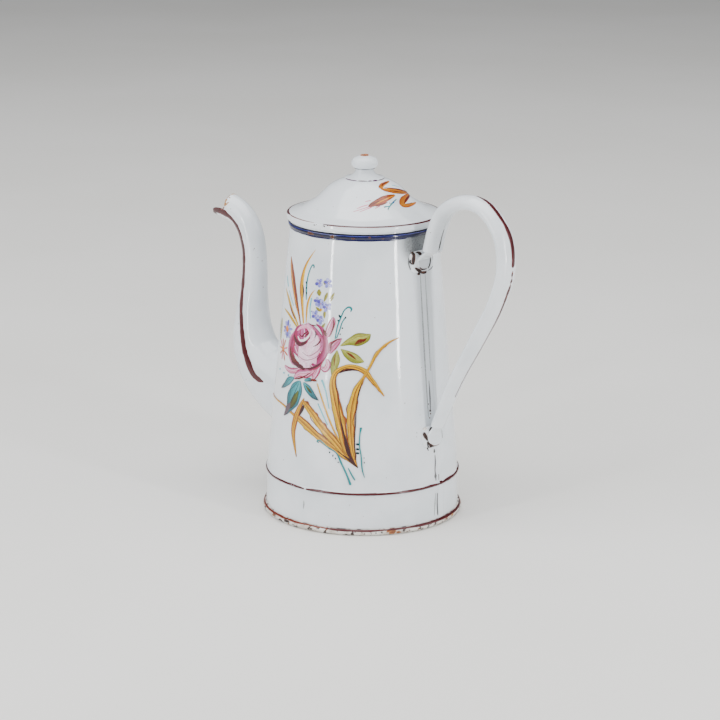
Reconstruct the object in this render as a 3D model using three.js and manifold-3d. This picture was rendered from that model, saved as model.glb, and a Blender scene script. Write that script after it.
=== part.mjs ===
// An old enamelled sheet-steel coffee pot: a tapered body on a foot band, a gooseneck spout of two
// stamped halves, a tubular handle on two tabs, and a loose lid with a riveted knob.
// Millimetres, +Z up. The spout points along +X and the handle along -X, in the plane Y = 0.
import * as THREE from "three";
import { mergeVertices } from "three/addons/utils/BufferGeometryUtils.js";
import Module from "manifold-3d";

const wasm = await Module();
wasm.setup();

// Sheet metal and fits
const sheet = 1.2;
const fitGap = 0.3;

// Foot: a rolled edge under a plain band
const footRadius = 72.3;
const footRollRadius = 2.6;
const bandHeight = 29.2;
const bandTaper = 0.6;
const bandLapWidth = 5.6;
const bandLapOffset = 7.4;
const bandLapProud = 0.45;

// Body wall: a short upright stretch over the crease, then a straight cone to the mouth
const shellInset = 0.2;
const shoulderTaper = 0.7;
const shellShoulderHeight = 45;
const mouthWallRadius = 52.65;
const potHeight = 212.4;
const creaseProud = 1.4;
const creaseHeight = 1.9;
const seamWidth = 4.3;
const seamOffset = 5.9;
const seamProud = 0.45;

// Rolled bead round the mouth
const mouthBeadRadius = 1.95;

// Floor of the pot, set in above the foot
const floorCrown = 1.6;
const floorFlange = 3.4;
const floorOverRoll = 0.52;
const floorCornerRadius = 2;

// Strainer behind the spout: a hexagon of holes
const strainerHoleRadius = 2.3;
const strainerPitch = 7;
const strainerRings = 2;
const strainerHeight = 74;

// Spout: from the wall out and up to the mouth
const spoutRootHeight = 68;
const spoutOut = 81;
const spoutRise = 135;
const spoutNeckRadius = 9.2;
const spoutRootDepth = 27;
const spoutRootWidth = 20;
const hoodCornerRadius = 2.6;
const lipLength = 16;
const lipDrop = 6.1;

// Handle: a sheet tube with an open seam on the finger side
const handleOut = 76.1;
const handleCrest = 46.8;
const handleWidth = 17.4;
const handleThickness = 10.8;
const handleSheet = 1.1;
const handleSlot = 1.1;
const lowerTabHeight = 66;
const upperTabDrop = 21.6;

// Tabs: a pad curved to the wall, and a tongue that runs up into the open end of the tube
const upperPadWidth = 24;
const lowerPadWidth = 21;
const padHeight = 15.3;
const padThickness = 1.3;
const padCorner = 4;
const tongueWidth = 13.2;
const tongueThickness = 2.2;
const tongueInTube = 8;
const tongueBendRise = 1.5;

// Lid: a rolled rim, a flange, a step and a dome, with a collar that hangs in the mouth
const lidRadius = 55;
const lidRimHeight = 4.7;
const lidRimWidth = 2.8;
const lidRise = 28.3;
const lidSheet = 1.1;
const crownRadius = 14.4;
const collarRadius = 49.2;
const collarDepth = 11;
const collarFlangeRadius = 53.4;
const collarSheet = 1;

// Knob and the stud that holds it
const knobHeight = 16.2;
const knobFootRadius = 13.8;
const knobFootEdge = 1;
const knobNeckRadius = 6.6;
const knobBulgeRadius = 9.5;
const knobTopRadius = 3.6;
const knobSheet = 1;
const studRadius = 1.7;
const studHoleClearance = 0.5;
const studHeadRadius = 3.1;
const studHeadHeight = 1.1;
const studTailRadius = 4.2;
const studTailHeight = 1.2;

// Facets
const roundFacets = 56;
const beadFacets = 8;
const knobFacets = 24;
const knobSteps = 12;
const holeFacets = 10;
const cornerFacets = 3;

// Sizes that follow from the ones above
const bandBottomRadius = footRadius - footRollRadius;
const bandTopRadius = bandBottomRadius - bandTaper;
const shellBottomRadius = bandTopRadius - shellInset;
const shellShoulderRadius = shellBottomRadius - shoulderTaper;
const rollSeatShare = 0.9;
const footRollCentre = footRollRadius * rollSeatShare;
const footRollTop = 2 * footRollCentre;
const floorHeight = footRollTop + floorOverRoll + floorFlange;
const mouthBeadCentre = potHeight - mouthBeadRadius;
const shellTop = mouthBeadCentre - mouthBeadRadius * rollSeatShare;
const upperTabHeight = potHeight - upperTabDrop;
const lidSeat = potHeight + fitGap;
const lidRimBottom = lidSeat + collarSheet;
const crownHeight = lidRimBottom + lidRise;
const knobTop = crownHeight + knobHeight;
const studHoleRadius = studRadius + studHoleClearance;
const mouthCutWidth = 4 * spoutNeckRadius;
const mergeDistance = footRadius * 1e-6;

// Outer radius of the body wall at a height; past the mouth it is the same cone carried on.
function wallRadius(height) {
  const slope = (shellShoulderRadius - mouthWallRadius) / (shellTop - shellShoulderHeight);
  return shellShoulderRadius - slope * (height - shellShoulderHeight);
}

// Where the spout leaves the wall, and where its lip and the hood over it end.
const spoutRootRadius = wallRadius(spoutRootHeight);
const lipReach = spoutRootRadius + spoutOut;
const hoodReach = lipReach - lipLength;
const hoodCutHeight = spoutRootHeight + spoutRise;
const lipHeight = hoodCutHeight - lipDrop;

// Closed geometry to solid, and back.
function solidOf(geometry) {
  const bare = geometry.clone();
  bare.deleteAttribute("normal");
  bare.deleteAttribute("uv");
  const merged = mergeVertices(bare, mergeDistance);
  const vertProperties = merged.attributes.position.array;
  const triVerts = new Uint32Array(merged.index.array);
  return new wasm.Manifold(new wasm.Mesh({ numProp: 3, vertProperties, triVerts }));
}

function geometryOf(solid) {
  const mesh = solid.getMesh();
  const geometry = new THREE.BufferGeometry();
  geometry.setAttribute("position", new THREE.BufferAttribute(mesh.vertProperties, 3));
  geometry.setIndex(new THREE.BufferAttribute(mesh.triVerts, 1));
  geometry.computeVertexNormals();
  return geometry;
}

// A ring or disc turned about Z from a closed outline of [radius, height] points, listed upwards
// on the outside and back down on the inside.
function turned(outline, facets = roundFacets) {
  const points = outline.map(([radius, height]) => new THREE.Vector2(radius, height));
  points.push(points[0].clone());
  return new THREE.LatheGeometry(points, facets).rotateX(Math.PI / 2);
}

// A plate of an XZ outline, as thick as width and centred on the plane Y = 0.
function plate(shape, width) {
  const settings = { depth: width, bevelEnabled: false, curveSegments: cornerFacets };
  return new THREE.ExtrudeGeometry(shape, settings).rotateX(Math.PI / 2).translate(0, width / 2, 0);
}

// The outline of a sheet: its outer face, then the same face set back by the sheet's thickness.
function sheetOutline(outer, thickness) {
  const inner = outer.map(([x, y], i) => {
    const [ax, ay] = outer[Math.max(i - 1, 0)];
    const [bx, by] = outer[Math.min(i + 1, outer.length - 1)];
    const along = new THREE.Vector2(bx - ax, by - ay).normalize();
    return [x - along.y * thickness, y + along.x * thickness];
  });
  return [...outer, ...inner.reverse()];
}

// A smooth run of [x, y] points through a few chosen ones.
function smooth(points, steps) {
  const through = points.map(([x, y]) => new THREE.Vector3(x, y, 0));
  const curve = new THREE.CatmullRomCurve3(through, false, "centripetal");
  return curve.getPoints(steps).map((point) => [point.x, point.y]);
}

// A round roll at the edge of a turned wall: a circle, cut flat below and, unless its top is round,
// above, where the wall's edge or the table meets it.
function rollOutline(radius, centreRadius, centreHeight, roundTop) {
  const from = Math.acos(rollSeatShare) - Math.PI / 2;
  const to = roundTop ? Math.PI / 2 : -from;
  const steps = beadFacets / 2;
  const outside = Array.from({ length: steps + 1 }, (_, i) => {
    const angle = THREE.MathUtils.lerp(from, to, i / steps);
    return [radius * Math.cos(angle), radius * Math.sin(angle)];
  });
  const inside = outside.map(([out, up]) => [-out, up]).reverse();
  const ring = [...outside, ...inside.slice(roundTop ? 1 : 0)];
  return ring.map(([out, up]) => [centreRadius + out, centreHeight + up]);
}

// A hollow loft: each ring is a run of outer points and the same run set in by the sheet, so the
// piece is a bent strip of sheet. Rings and runs are open; both ends and both long edges are closed.
function stripLoft(rings) {
  const count = rings[0].outer.length;
  const loop = 2 * count;
  const positions = [];
  rings.forEach(({ outer, inner }) => {
    [...outer, ...[...inner].reverse()].forEach((point) => positions.push(point.x, point.y, point.z));
  });
  const index = [];
  const quad = (a, b, c, d) => index.push(a, b, c, a, c, d);
  for (let r = 0; r + 1 < rings.length; r += 1) {
    for (let k = 0; k < loop; k += 1) {
      const next = (k + 1) % loop;
      quad(r * loop + k, r * loop + next, (r + 1) * loop + next, (r + 1) * loop + k);
    }
  }
  const last = (rings.length - 1) * loop;
  for (let k = 0; k + 1 < count; k += 1) {
    const back = loop - 1 - k;
    quad(k, back, back - 1, k + 1);
    quad(last + k, last + k + 1, last + back - 1, last + back);
  }
  const geometry = new THREE.BufferGeometry();
  geometry.setAttribute("position", new THREE.Float32BufferAttribute(positions, 3));
  geometry.setIndex(index);
  return facingOut(geometry);
}

// The same closed geometry with its faces pointing out.
function facingOut(geometry) {
  const at = geometry.attributes.position;
  const index = geometry.index.array;
  const [a, b, c] = [new THREE.Vector3(), new THREE.Vector3(), new THREE.Vector3()];
  let volume = 0;
  for (let i = 0; i < index.length; i += 3) {
    a.fromBufferAttribute(at, index[i]);
    b.fromBufferAttribute(at, index[i + 1]);
    c.fromBufferAttribute(at, index[i + 2]);
    volume += a.dot(b.cross(c));
  }
  if (volume < 0) {
    for (let i = 0; i < index.length; i += 3) {
      [index[i + 1], index[i + 2]] = [index[i + 2], index[i + 1]];
    }
  }
  return geometry;
}

// A strip lofted along a line in the plane Y = 0. The section at each share of the line lists its
// points as [out, across]: out is square to the line in that plane, across is along Y.
function swept(line, steps, sectionAt) {
  const rings = Array.from({ length: steps + 1 }, (_, i) => {
    const centre = line.getPoint(i / steps);
    const along = line.getTangent(i / steps);
    const place = ([out, across]) =>
      new THREE.Vector3(centre.x - along.z * out, across, centre.z + along.x * out);
    const { outer, inner } = sectionAt(i / steps);
    return { outer: outer.map(place), inner: inner.map(place) };
  });
  return stripLoft(rings);
}

// Points of an ellipse between two angles, as [out, across].
function ellipseRun(halfOut, halfAcross, from, to, count) {
  return Array.from({ length: count }, (_, k) => {
    const angle = THREE.MathUtils.lerp(from, to, k / (count - 1));
    return [halfOut * Math.cos(angle), halfAcross * Math.sin(angle)];
  });
}

// The body wall with a clearance, as a closed plug that cuts whatever is fitted against it.
function wallPlug(clearance) {
  const top = potHeight + spoutRise;
  return solidOf(
    turned([
      [0, 0],
      [wallRadius(0) + clearance, 0],
      [wallRadius(top) + clearance, top],
      [0, top],
    ]),
  );
}

// Foot
function footBead() {
  return turned(rollOutline(footRollRadius, bandBottomRadius, footRollCentre, false));
}

function footBand() {
  const inset = (radius) => radius - sheet;
  const wall = turned([
    [bandBottomRadius, footRollTop],
    [bandTopRadius, bandHeight],
    [inset(bandTopRadius), bandHeight],
    [inset(bandBottomRadius), footRollTop],
  ]);
  const outside = turned([
    [bandBottomRadius + bandLapProud, footRollTop],
    [bandTopRadius + bandLapProud, bandHeight],
    [inset(bandTopRadius), bandHeight],
    [inset(bandBottomRadius), footRollTop],
  ]);
  const depth = 2 * footRollRadius + 2 * sheet;
  const strip = new THREE.BoxGeometry(depth, bandLapWidth, bandHeight - footRollTop);
  strip.translate(-bandBottomRadius, -bandLapOffset, (bandHeight + footRollTop) / 2);
  return geometryOf(solidOf(outside).intersect(solidOf(strip)).add(solidOf(wall)));
}

function bottomPlate() {
  const radius = bandBottomRadius - sheet - fitGap;
  const low = floorHeight - floorFlange;
  return turned([
    [0, floorHeight + floorCrown - sheet],
    [radius - floorCornerRadius, floorHeight - sheet],
    [radius - sheet, floorHeight - floorCornerRadius],
    [radius - sheet, low],
    [radius, low],
    [radius, floorHeight - floorCornerRadius + sheet / 2],
    [radius - floorCornerRadius, floorHeight],
    [0, floorHeight + floorCrown],
  ]);
}

// Body
function strainerHoles() {
  const length = 2 * spoutRootWidth;
  const holes = [];
  for (let q = -strainerRings; q <= strainerRings; q += 1) {
    for (let r = -strainerRings; r <= strainerRings; r += 1) {
      if (Math.abs(q + r) > strainerRings) continue;
      const hole = new THREE.CylinderGeometry(strainerHoleRadius, strainerHoleRadius, length, holeFacets);
      const across = strainerPitch * (q + r / 2);
      const up = strainerPitch * r * Math.sin(Math.PI / 3);
      hole.rotateZ(Math.PI / 2).translate(wallRadius(strainerHeight), across, strainerHeight + up);
      holes.push(solidOf(hole));
    }
  }
  return holes;
}

// The raised seam down the wall under the handle, with a clearance for what crosses it.
function seam(clearance) {
  const foot = bandHeight + creaseHeight;
  const strip = new THREE.BoxGeometry(footRadius, seamWidth + 2 * clearance, shellTop - foot);
  strip.translate(-footRadius, -seamOffset, (shellTop + foot) / 2);
  const raised = turned([
    [shellBottomRadius + seamProud + clearance, foot],
    [shellShoulderRadius + seamProud + clearance, shellShoulderHeight],
    [mouthWallRadius + seamProud + clearance, shellTop],
    [mouthWallRadius - sheet / 2, shellTop],
    [shellShoulderRadius - sheet / 2, shellShoulderHeight],
    [shellBottomRadius - sheet / 2, foot],
  ]);
  return solidOf(raised).intersect(solidOf(strip));
}

function bodyShell() {
  const outer = [
    [shellBottomRadius + creaseProud, bandHeight],
    [shellBottomRadius + creaseProud, bandHeight + creaseHeight / 2],
    [shellBottomRadius, bandHeight + creaseHeight],
    [shellShoulderRadius, shellShoulderHeight],
    [mouthWallRadius, shellTop],
  ];
  const inner = [
    [mouthWallRadius - sheet, shellTop],
    [shellShoulderRadius - sheet, shellShoulderHeight],
    [shellBottomRadius - sheet, bandHeight],
  ];
  const body = solidOf(turned([...outer, ...inner])).add(seam(0));
  return geometryOf(strainerHoles().reduce((cut, hole) => cut.subtract(hole), body));
}

function mouthBead() {
  const centreRadius = mouthWallRadius - sheet / 2;
  return turned(rollOutline(mouthBeadRadius, centreRadius, mouthBeadCentre, true));
}

// Spout: the centre line as shares of its reach and rise, with the section's half depth in the
// pot's middle plane and its half width across, each as a share from the neck (0) to the root (1).
const spoutLineShares = [
  [-0.261, -0.046, 1, 1],
  [-0.05, 0, 1, 1],
  [0.187, 0.059, 0.957, 0.94],
  [0.388, 0.129, 0.77, 0.778],
  [0.51, 0.221, 0.555, 0.601],
  [0.556, 0.327, 0.367, 0.436],
  [0.559, 0.435, 0.209, 0.261],
  [0.543, 0.571, 0.078, 0.091],
  [0.533, 0.697, 0.02, 0.018],
  [0.545, 0.8, 0, 0],
  [0.593, 0.889, 0, 0],
  [0.679, 0.951, 0.01, 0],
  [0.79, 0.986, 0.03, 0],
  [1.063, 1.027, 0.08, 0.02],
];
const spoutRings = 28;
const spoutArc = 11;

function spoutTube(side) {
  const line = new THREE.CatmullRomCurve3(
    spoutLineShares.map(
      ([out, up]) =>
        new THREE.Vector3(spoutRootRadius + out * spoutOut, 0, spoutRootHeight + up * spoutRise),
    ),
  );
  const sizes = new THREE.CatmullRomCurve3(
    spoutLineShares.map(([, , depth, width]) => new THREE.Vector3(depth, width, 0)),
  );
  return solidOf(
    swept(line, spoutRings, (share) => {
      const size = sizes.getPoint(share);
      const depth = THREE.MathUtils.lerp(spoutNeckRadius, spoutRootDepth, size.x);
      const width = THREE.MathUtils.lerp(spoutNeckRadius, spoutRootWidth, size.y);
      const run = (set) => {
        const points = ellipseRun(depth - set, side * (width - set), 0, Math.PI, spoutArc);
        points[spoutArc - 1][1] = 0;
        return points;
      };
      return { outer: run(0), inner: run(sheet) };
    }),
  );
}

// What the mouth's cut takes away: all that is ahead of the hood's edge and above the lip.
function mouthCut() {
  const far = lipReach + spoutOut;
  const high = hoodCutHeight + spoutRise;
  const slope = lipDrop / lipLength;
  const shape = new THREE.Shape();
  shape.moveTo(hoodReach, high);
  shape.lineTo(hoodReach, hoodCutHeight + hoodCornerRadius);
  shape.quadraticCurveTo(
    hoodReach,
    hoodCutHeight,
    hoodReach + hoodCornerRadius,
    hoodCutHeight - slope * hoodCornerRadius,
  );
  shape.lineTo(lipReach, lipHeight);
  shape.lineTo(far, lipHeight - slope * spoutOut);
  shape.lineTo(far, high);
  shape.closePath();
  return solidOf(plate(shape, mouthCutWidth));
}

// What trims the lip to its reach.
function lipCut() {
  const box = new THREE.BoxGeometry(spoutOut, mouthCutWidth, 2 * spoutRise);
  return solidOf(box.translate(lipReach + spoutOut / 2, 0, lipHeight));
}

function spoutHalf(side) {
  return geometryOf(
    spoutTube(side).subtract(wallPlug(fitGap)).subtract(mouthCut()).subtract(lipCut()),
  );
}

// Handle: the tube's centre line from the open upper end round the grip to the lower end. Its rows
// are shares of the reach out from the wall, the level (0 at the lower tab, 1 at the upper tab and
// 2 at the crest) and the section's size.
const handleLineShares = [
  [0.137, 1.198, 1.04],
  [0.214, 1.533, 1.03],
  [0.334, 1.834, 1],
  [0.554, 2, 0.98],
  [0.787, 1.952, 0.98],
  [0.968, 1.625, 1],
  [0.996, 1.187, 1],
  [0.891, 0.881, 0.98],
  [0.628, 0.629, 0.92],
  [0.344, 0.367, 0.84],
  [0.16, 0.167, 0.78],
  [0.075, 0.069, 0.74],
];
const handleRings = 30;
const handleArc = 14;
const tongueSteps = 12;
const tongueInBoreShare = 0.8;
const tongueNarrowsShares = [0.5, 0.7];

function handleLine() {
  return new THREE.CatmullRomCurve3(
    handleLineShares.map(([out, level]) => {
      const betweenTabs = THREE.MathUtils.lerp(lowerTabHeight, upperTabHeight, Math.min(level, 1));
      const height = betweenTabs + Math.max(level - 1, 0) * handleCrest;
      return new THREE.Vector3(-wallRadius(height) - out * handleOut, 0, height);
    }),
  );
}

function handleTube() {
  const line = handleLine();
  const sizes = new THREE.CatmullRomCurve3(
    handleLineShares.map(([, , size]) => new THREE.Vector3(size, 0, 0)),
  );
  return swept(line, handleRings, (share) => {
    const size = sizes.getPoint(share).x;
    const halfWidth = (size * handleWidth) / 2;
    const halfThickness = (size * handleThickness) / 2;
    const slotAngle = Math.asin(handleSlot / (2 * halfWidth));
    const run = (set) =>
      ellipseRun(halfThickness - set, halfWidth - set, slotAngle, 2 * Math.PI - slotAngle, handleArc);
    return { outer: run(0), inner: run(handleSheet) };
  });
}

// A tab: the pad hugs the wall round its centre height, and the tongue runs down the wall from the
// end of the tube, whose line it follows for a few millimetres inside.
function padBlock(height, width) {
  const [x, y, corner] = [width / 2, padHeight / 2, padCorner];
  const pad = new THREE.Shape();
  pad.moveTo(-x + corner, -y);
  pad.lineTo(x - corner, -y);
  pad.quadraticCurveTo(x, -y, x, -y + corner);
  pad.lineTo(x, y - corner);
  pad.quadraticCurveTo(x, y, x - corner, y);
  pad.lineTo(-x + corner, y);
  pad.quadraticCurveTo(-x, y, -x, y - corner);
  pad.lineTo(-x, -y + corner);
  pad.quadraticCurveTo(-x, -y, -x + corner, -y);
  const settings = { depth: footRadius, bevelEnabled: false, curveSegments: cornerFacets };
  const block = new THREE.ExtrudeGeometry(pad, settings);
  return solidOf(block.rotateX(Math.PI / 2).rotateZ(-Math.PI / 2).translate(0, 0, height));
}

function tabTongue(height, tubeEnd, tubeInside, tubeSize) {
  const onWall = (level) =>
    new THREE.Vector3(-wallRadius(level) - fitGap - tongueThickness / 2, 0, level);
  const low = height - (padHeight - padCorner) / 2;
  const line = new THREE.CatmullRomCurve3(
    [onWall(low), onWall(height), onWall(height + tongueBendRise), tubeEnd, tubeInside],
    false,
    "centripetal",
  );
  const boreWidth = tubeSize * handleWidth - 2 * handleSheet;
  return solidOf(
    swept(line, tongueSteps, (share) => {
      const narrowing = THREE.MathUtils.smoothstep(share, ...tongueNarrowsShares);
      const halfWidth = THREE.MathUtils.lerp(tongueWidth, boreWidth * tongueInBoreShare, narrowing) / 2;
      const edge = (out) => [
        [out, -halfWidth],
        [out, halfWidth],
      ];
      return { outer: edge(tongueThickness / 2), inner: edge(-tongueThickness / 2) };
    }),
  );
}

function handleTab(height, width, tongue) {
  const shell = wallPlug(fitGap + padThickness).subtract(wallPlug(fitGap));
  const tab = shell.intersect(padBlock(height, width)).add(tongue);
  return geometryOf(tab.subtract(wallPlug(fitGap)).subtract(seam(fitGap)));
}

function handleUpperTab() {
  const line = handleLine();
  const inside = line.getPointAt(tongueInTube / line.getLength());
  const size = handleLineShares[0][2];
  const tongue = tabTongue(upperTabHeight, line.getPointAt(0), inside, size);
  return handleTab(upperTabHeight, upperPadWidth, tongue);
}

function handleLowerTab() {
  const line = handleLine();
  const inside = line.getPointAt(1 - tongueInTube / line.getLength());
  const size = handleLineShares[handleLineShares.length - 1][2];
  const tongue = tabTongue(lowerTabHeight, line.getPointAt(1), inside, size);
  return handleTab(lowerTabHeight, lowerPadWidth, tongue);
}

// Lid
const domeShares = [
  [0.853, 0.085],
  [0.732, 0.182],
  [0.677, 0.218],
  [0.608, 0.281],
  [0.514, 0.384],
  [0.384, 0.596],
  [0.259, 0.791],
  [0.098, 0.94],
  [0, 1],
];

function lidShell() {
  const rimTop = lidRimBottom + lidRimHeight;
  const rimRound = lidRimWidth / 3;
  const flangeRadius = lidRadius - lidRimWidth / 2;
  const dome = domeShares.map(([out, up]) => [
    THREE.MathUtils.lerp(crownRadius, flangeRadius, out),
    THREE.MathUtils.lerp(rimTop, crownHeight, up),
  ]);
  const top = [[flangeRadius, rimTop], ...dome, [studHoleRadius, crownHeight]];
  const outside = sheetOutline(top, lidSheet);
  const underside = outside.slice(top.length, outside.length - 1);
  return turned([
    [lidRadius - rimRound, lidRimBottom],
    [lidRadius, lidRimBottom + rimRound],
    [lidRadius, rimTop - rimRound],
    ...top,
    ...underside,
    [lidRadius - lidRimWidth, rimTop - lidSheet],
    [lidRadius - lidRimWidth, lidRimBottom],
  ]);
}

function lidCollar() {
  const bottom = lidSeat - collarDepth;
  return turned([
    [collarRadius, bottom],
    [collarRadius, lidSeat],
    [collarFlangeRadius, lidSeat],
    [collarFlangeRadius, lidRimBottom],
    [collarRadius - collarSheet, lidRimBottom],
    [collarRadius - collarSheet, bottom],
  ]);
}

// The knob's outline above its foot edge: shares of its height, and radii between neck and foot or
// between neck and bulge.
function lidKnob() {
  const flare = (share) => THREE.MathUtils.lerp(knobNeckRadius, knobFootRadius, share);
  const bulge = (share) => THREE.MathUtils.lerp(knobNeckRadius, knobBulgeRadius, share);
  const at = (share) => crownHeight + knobHeight * share;
  const face = smooth(
    [
      [knobFootRadius, crownHeight + knobFootEdge],
      [flare(0.55), at(0.11)],
      [flare(0.12), at(0.25)],
      [knobNeckRadius, at(0.38)],
      [bulge(0.55), at(0.51)],
      [knobBulgeRadius, at(0.68)],
      [bulge(0.5), at(0.88)],
      [knobTopRadius, knobTop],
    ],
    knobSteps,
  );
  const outside = [...face, [studHoleRadius, knobTop]];
  const inside = sheetOutline(outside, knobSheet).slice(outside.length, -1);
  const foot = [knobFootRadius - knobSheet, crownHeight];
  return turned([[knobFootRadius, crownHeight], ...outside, ...inside, foot], knobFacets);
}

function knobStud() {
  const tail = crownHeight - lidSheet;
  const dome = [0, 0.35, 0.7, 1].map((share) => [
    studHeadRadius * Math.cos((share * Math.PI) / 2),
    knobTop + studHeadHeight * Math.sin((share * Math.PI) / 2),
  ]);
  dome[dome.length - 1][0] = 0;
  return turned(
    [
      [0, tail - studTailHeight],
      [studTailRadius, tail - studTailHeight],
      [studTailRadius, tail],
      [studRadius, tail],
      [studRadius, knobTop],
      ...dome,
    ],
    knobFacets / 2,
  );
}

// Enamel and metal
const whiteEnamel = new THREE.MeshStandardMaterial({ color: 0xe3e7ea, roughness: 0.14, metalness: 0 });
const blueEnamel = new THREE.MeshStandardMaterial({ color: 0x1d2160, roughness: 0.16, metalness: 0 });
const wornEnamel = new THREE.MeshStandardMaterial({ color: 0xb9a99a, roughness: 0.4, metalness: 0 });
const rustySteel = new THREE.MeshStandardMaterial({ color: 0x8a4a24, roughness: 0.7, metalness: 0.4 });

const pot = new THREE.Group();

function place(name, geometry, material, parent) {
  const mesh = new THREE.Mesh(geometry, material);
  mesh.name = name;
  parent.add(mesh);
}

const vessel = new THREE.Group();
place("foot_bead", footBead(), wornEnamel, vessel);
place("foot_band", footBand(), whiteEnamel, vessel);
place("bottom_plate", bottomPlate(), whiteEnamel, vessel);
place("body_shell", bodyShell(), whiteEnamel, vessel);
place("mouth_bead", mouthBead(), blueEnamel, vessel);
place("spout_left_half", spoutHalf(1), whiteEnamel, vessel);
place("spout_right_half", spoutHalf(-1), whiteEnamel, vessel);
place("handle_tube", handleTube(), whiteEnamel, vessel);
place("handle_upper_tab", handleUpperTab(), whiteEnamel, vessel);
place("handle_lower_tab", handleLowerTab(), whiteEnamel, vessel);

const lid = new THREE.Group();
place("lid_shell", lidShell(), whiteEnamel, lid);
place("lid_collar", lidCollar(), whiteEnamel, lid);
place("lid_knob", lidKnob(), whiteEnamel, lid);
place("knob_stud", knobStud(), rustySteel, lid);

pot.add(vessel, lid);

// The origin is under the middle of the whole pot, on the surface that it stands on.
const extent = new THREE.Box3().setFromObject(pot);
pot.position.set(-(extent.min.x + extent.max.x) / 2, 0, -extent.min.z);

export default pot;
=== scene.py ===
"""The looks of an old white enamelled coffee pot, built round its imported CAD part.

Lengths are millimetres from the pot's own axis, and become metres in the part's frame when a mesh
is made. Places to paint on are given by degrees about the axis from the side that faces the camera.
"""
import math

import bmesh
import bpy
import numpy as np
from mathutils import Matrix, Vector


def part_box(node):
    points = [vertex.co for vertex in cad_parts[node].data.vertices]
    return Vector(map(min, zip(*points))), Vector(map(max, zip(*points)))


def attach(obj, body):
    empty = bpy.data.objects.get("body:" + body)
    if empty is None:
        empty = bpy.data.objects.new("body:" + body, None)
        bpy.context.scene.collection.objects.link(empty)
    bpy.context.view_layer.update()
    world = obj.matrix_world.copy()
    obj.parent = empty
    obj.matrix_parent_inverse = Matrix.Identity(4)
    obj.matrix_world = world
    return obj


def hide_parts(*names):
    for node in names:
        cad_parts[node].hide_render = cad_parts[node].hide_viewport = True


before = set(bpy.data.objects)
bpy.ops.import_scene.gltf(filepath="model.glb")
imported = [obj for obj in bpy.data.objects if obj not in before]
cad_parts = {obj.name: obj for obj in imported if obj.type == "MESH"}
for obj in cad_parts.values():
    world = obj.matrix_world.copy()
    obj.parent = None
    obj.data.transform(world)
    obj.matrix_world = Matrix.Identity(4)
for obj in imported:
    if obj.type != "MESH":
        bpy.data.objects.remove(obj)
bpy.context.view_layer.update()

MM = 0.001
# How far along X the pot's axis lies in the part's frame, as its round mouth tells. The side that faces
# the camera is given in degrees about that axis.
mouth_low, mouth_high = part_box("mouth_bead")
AXIS = (mouth_low.x + mouth_high.x) / 2 / MM
CAMERA_SIDE = 132.0
rng = np.random.default_rng(7)

# Foot and body
SHEET = 1.2
ROLL_RADIUS, ROLL_CENTRE, ROLL_TOP = 2.6, 2.34, 4.68
BAND_BOTTOM, BAND_TOP, BAND_HEIGHT = 69.7, 69.1, 29.2
SHELL_BOTTOM, SHOULDER_RADIUS, SHOULDER_HEIGHT, SHOULDER_BEND = 68.9, 68.2, 45.0, 9
MOUTH_RADIUS, SHELL_TOP = 52.65, 208.695
WALL_SLOPE = (SHOULDER_RADIUS - MOUTH_RADIUS) / (SHELL_TOP - SHOULDER_HEIGHT)
CREASE_PROUD, CREASE_HIGH, CREASE_FALL = 1.4, 1.5, 0.6
WALL_START = BAND_HEIGHT + CREASE_HIGH + CREASE_FALL
SEAM = {"centre": -5.9, "width": 4.3, "proud": 0.45}
LAP = {"centre": -7.4, "width": 5.6, "proud": 0.45}
BEAD_RADIUS, BEAD_CENTRE = 1.95, 210.45
FLOOR_TOP, FLOOR_RISE, FLOOR_BOTTOM, FLOOR_PLAY, FLOOR_BEND = 8.6, 0.4, 5.2, 0.3, 2
HOLE_RADIUS, HOLE_PITCH, HOLES_MIDDLE, HOLE_CUT = 2.3, 7.0, 74.0, 12

# Spout. Each point of its line has shares of the reach, of the rise, and of what the root is deeper and
# wider than the neck.
SPOUT_ROOT, SPOUT_LOW, SPOUT_OUT, SPOUT_RISE = 66.0, 68.0, 81.0, 135.0
NECK, ROOT_DEPTH, ROOT_WIDTH = 9.2, 27.0, 20.0
LIP_REACH, HOOD_REACH, HOOD_CUT, HOOD_CORNER = 146.2, 132.2, 202.0, 2.6
LIP_SLOPE, LIP_BOTTOM, LIP_LEAN = 0.15, 197.4, 0.9
WELD_FOOT, WELD_RISE, WELD_SUNK, CUT_ROUND = 2.6, 3.0, 0.35, 0.22
SPOUT_LINE = [
    (-0.261, -0.046, 1, 1), (-0.05, 0, 1, 1), (0.187, 0.059, 0.957, 0.94), (0.388, 0.129, 0.77, 0.778),
    (0.51, 0.221, 0.555, 0.601), (0.556, 0.327, 0.367, 0.436), (0.559, 0.435, 0.209, 0.261),
    (0.543, 0.571, 0.078, 0.091), (0.533, 0.697, 0.02, 0.018), (0.545, 0.8, 0, 0), (0.593, 0.889, 0, 0),
    (0.679, 0.951, 0.01, 0), (0.79, 0.986, 0.03, 0), (1.063, 1.027, 0.08, 0.02),
]

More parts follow.
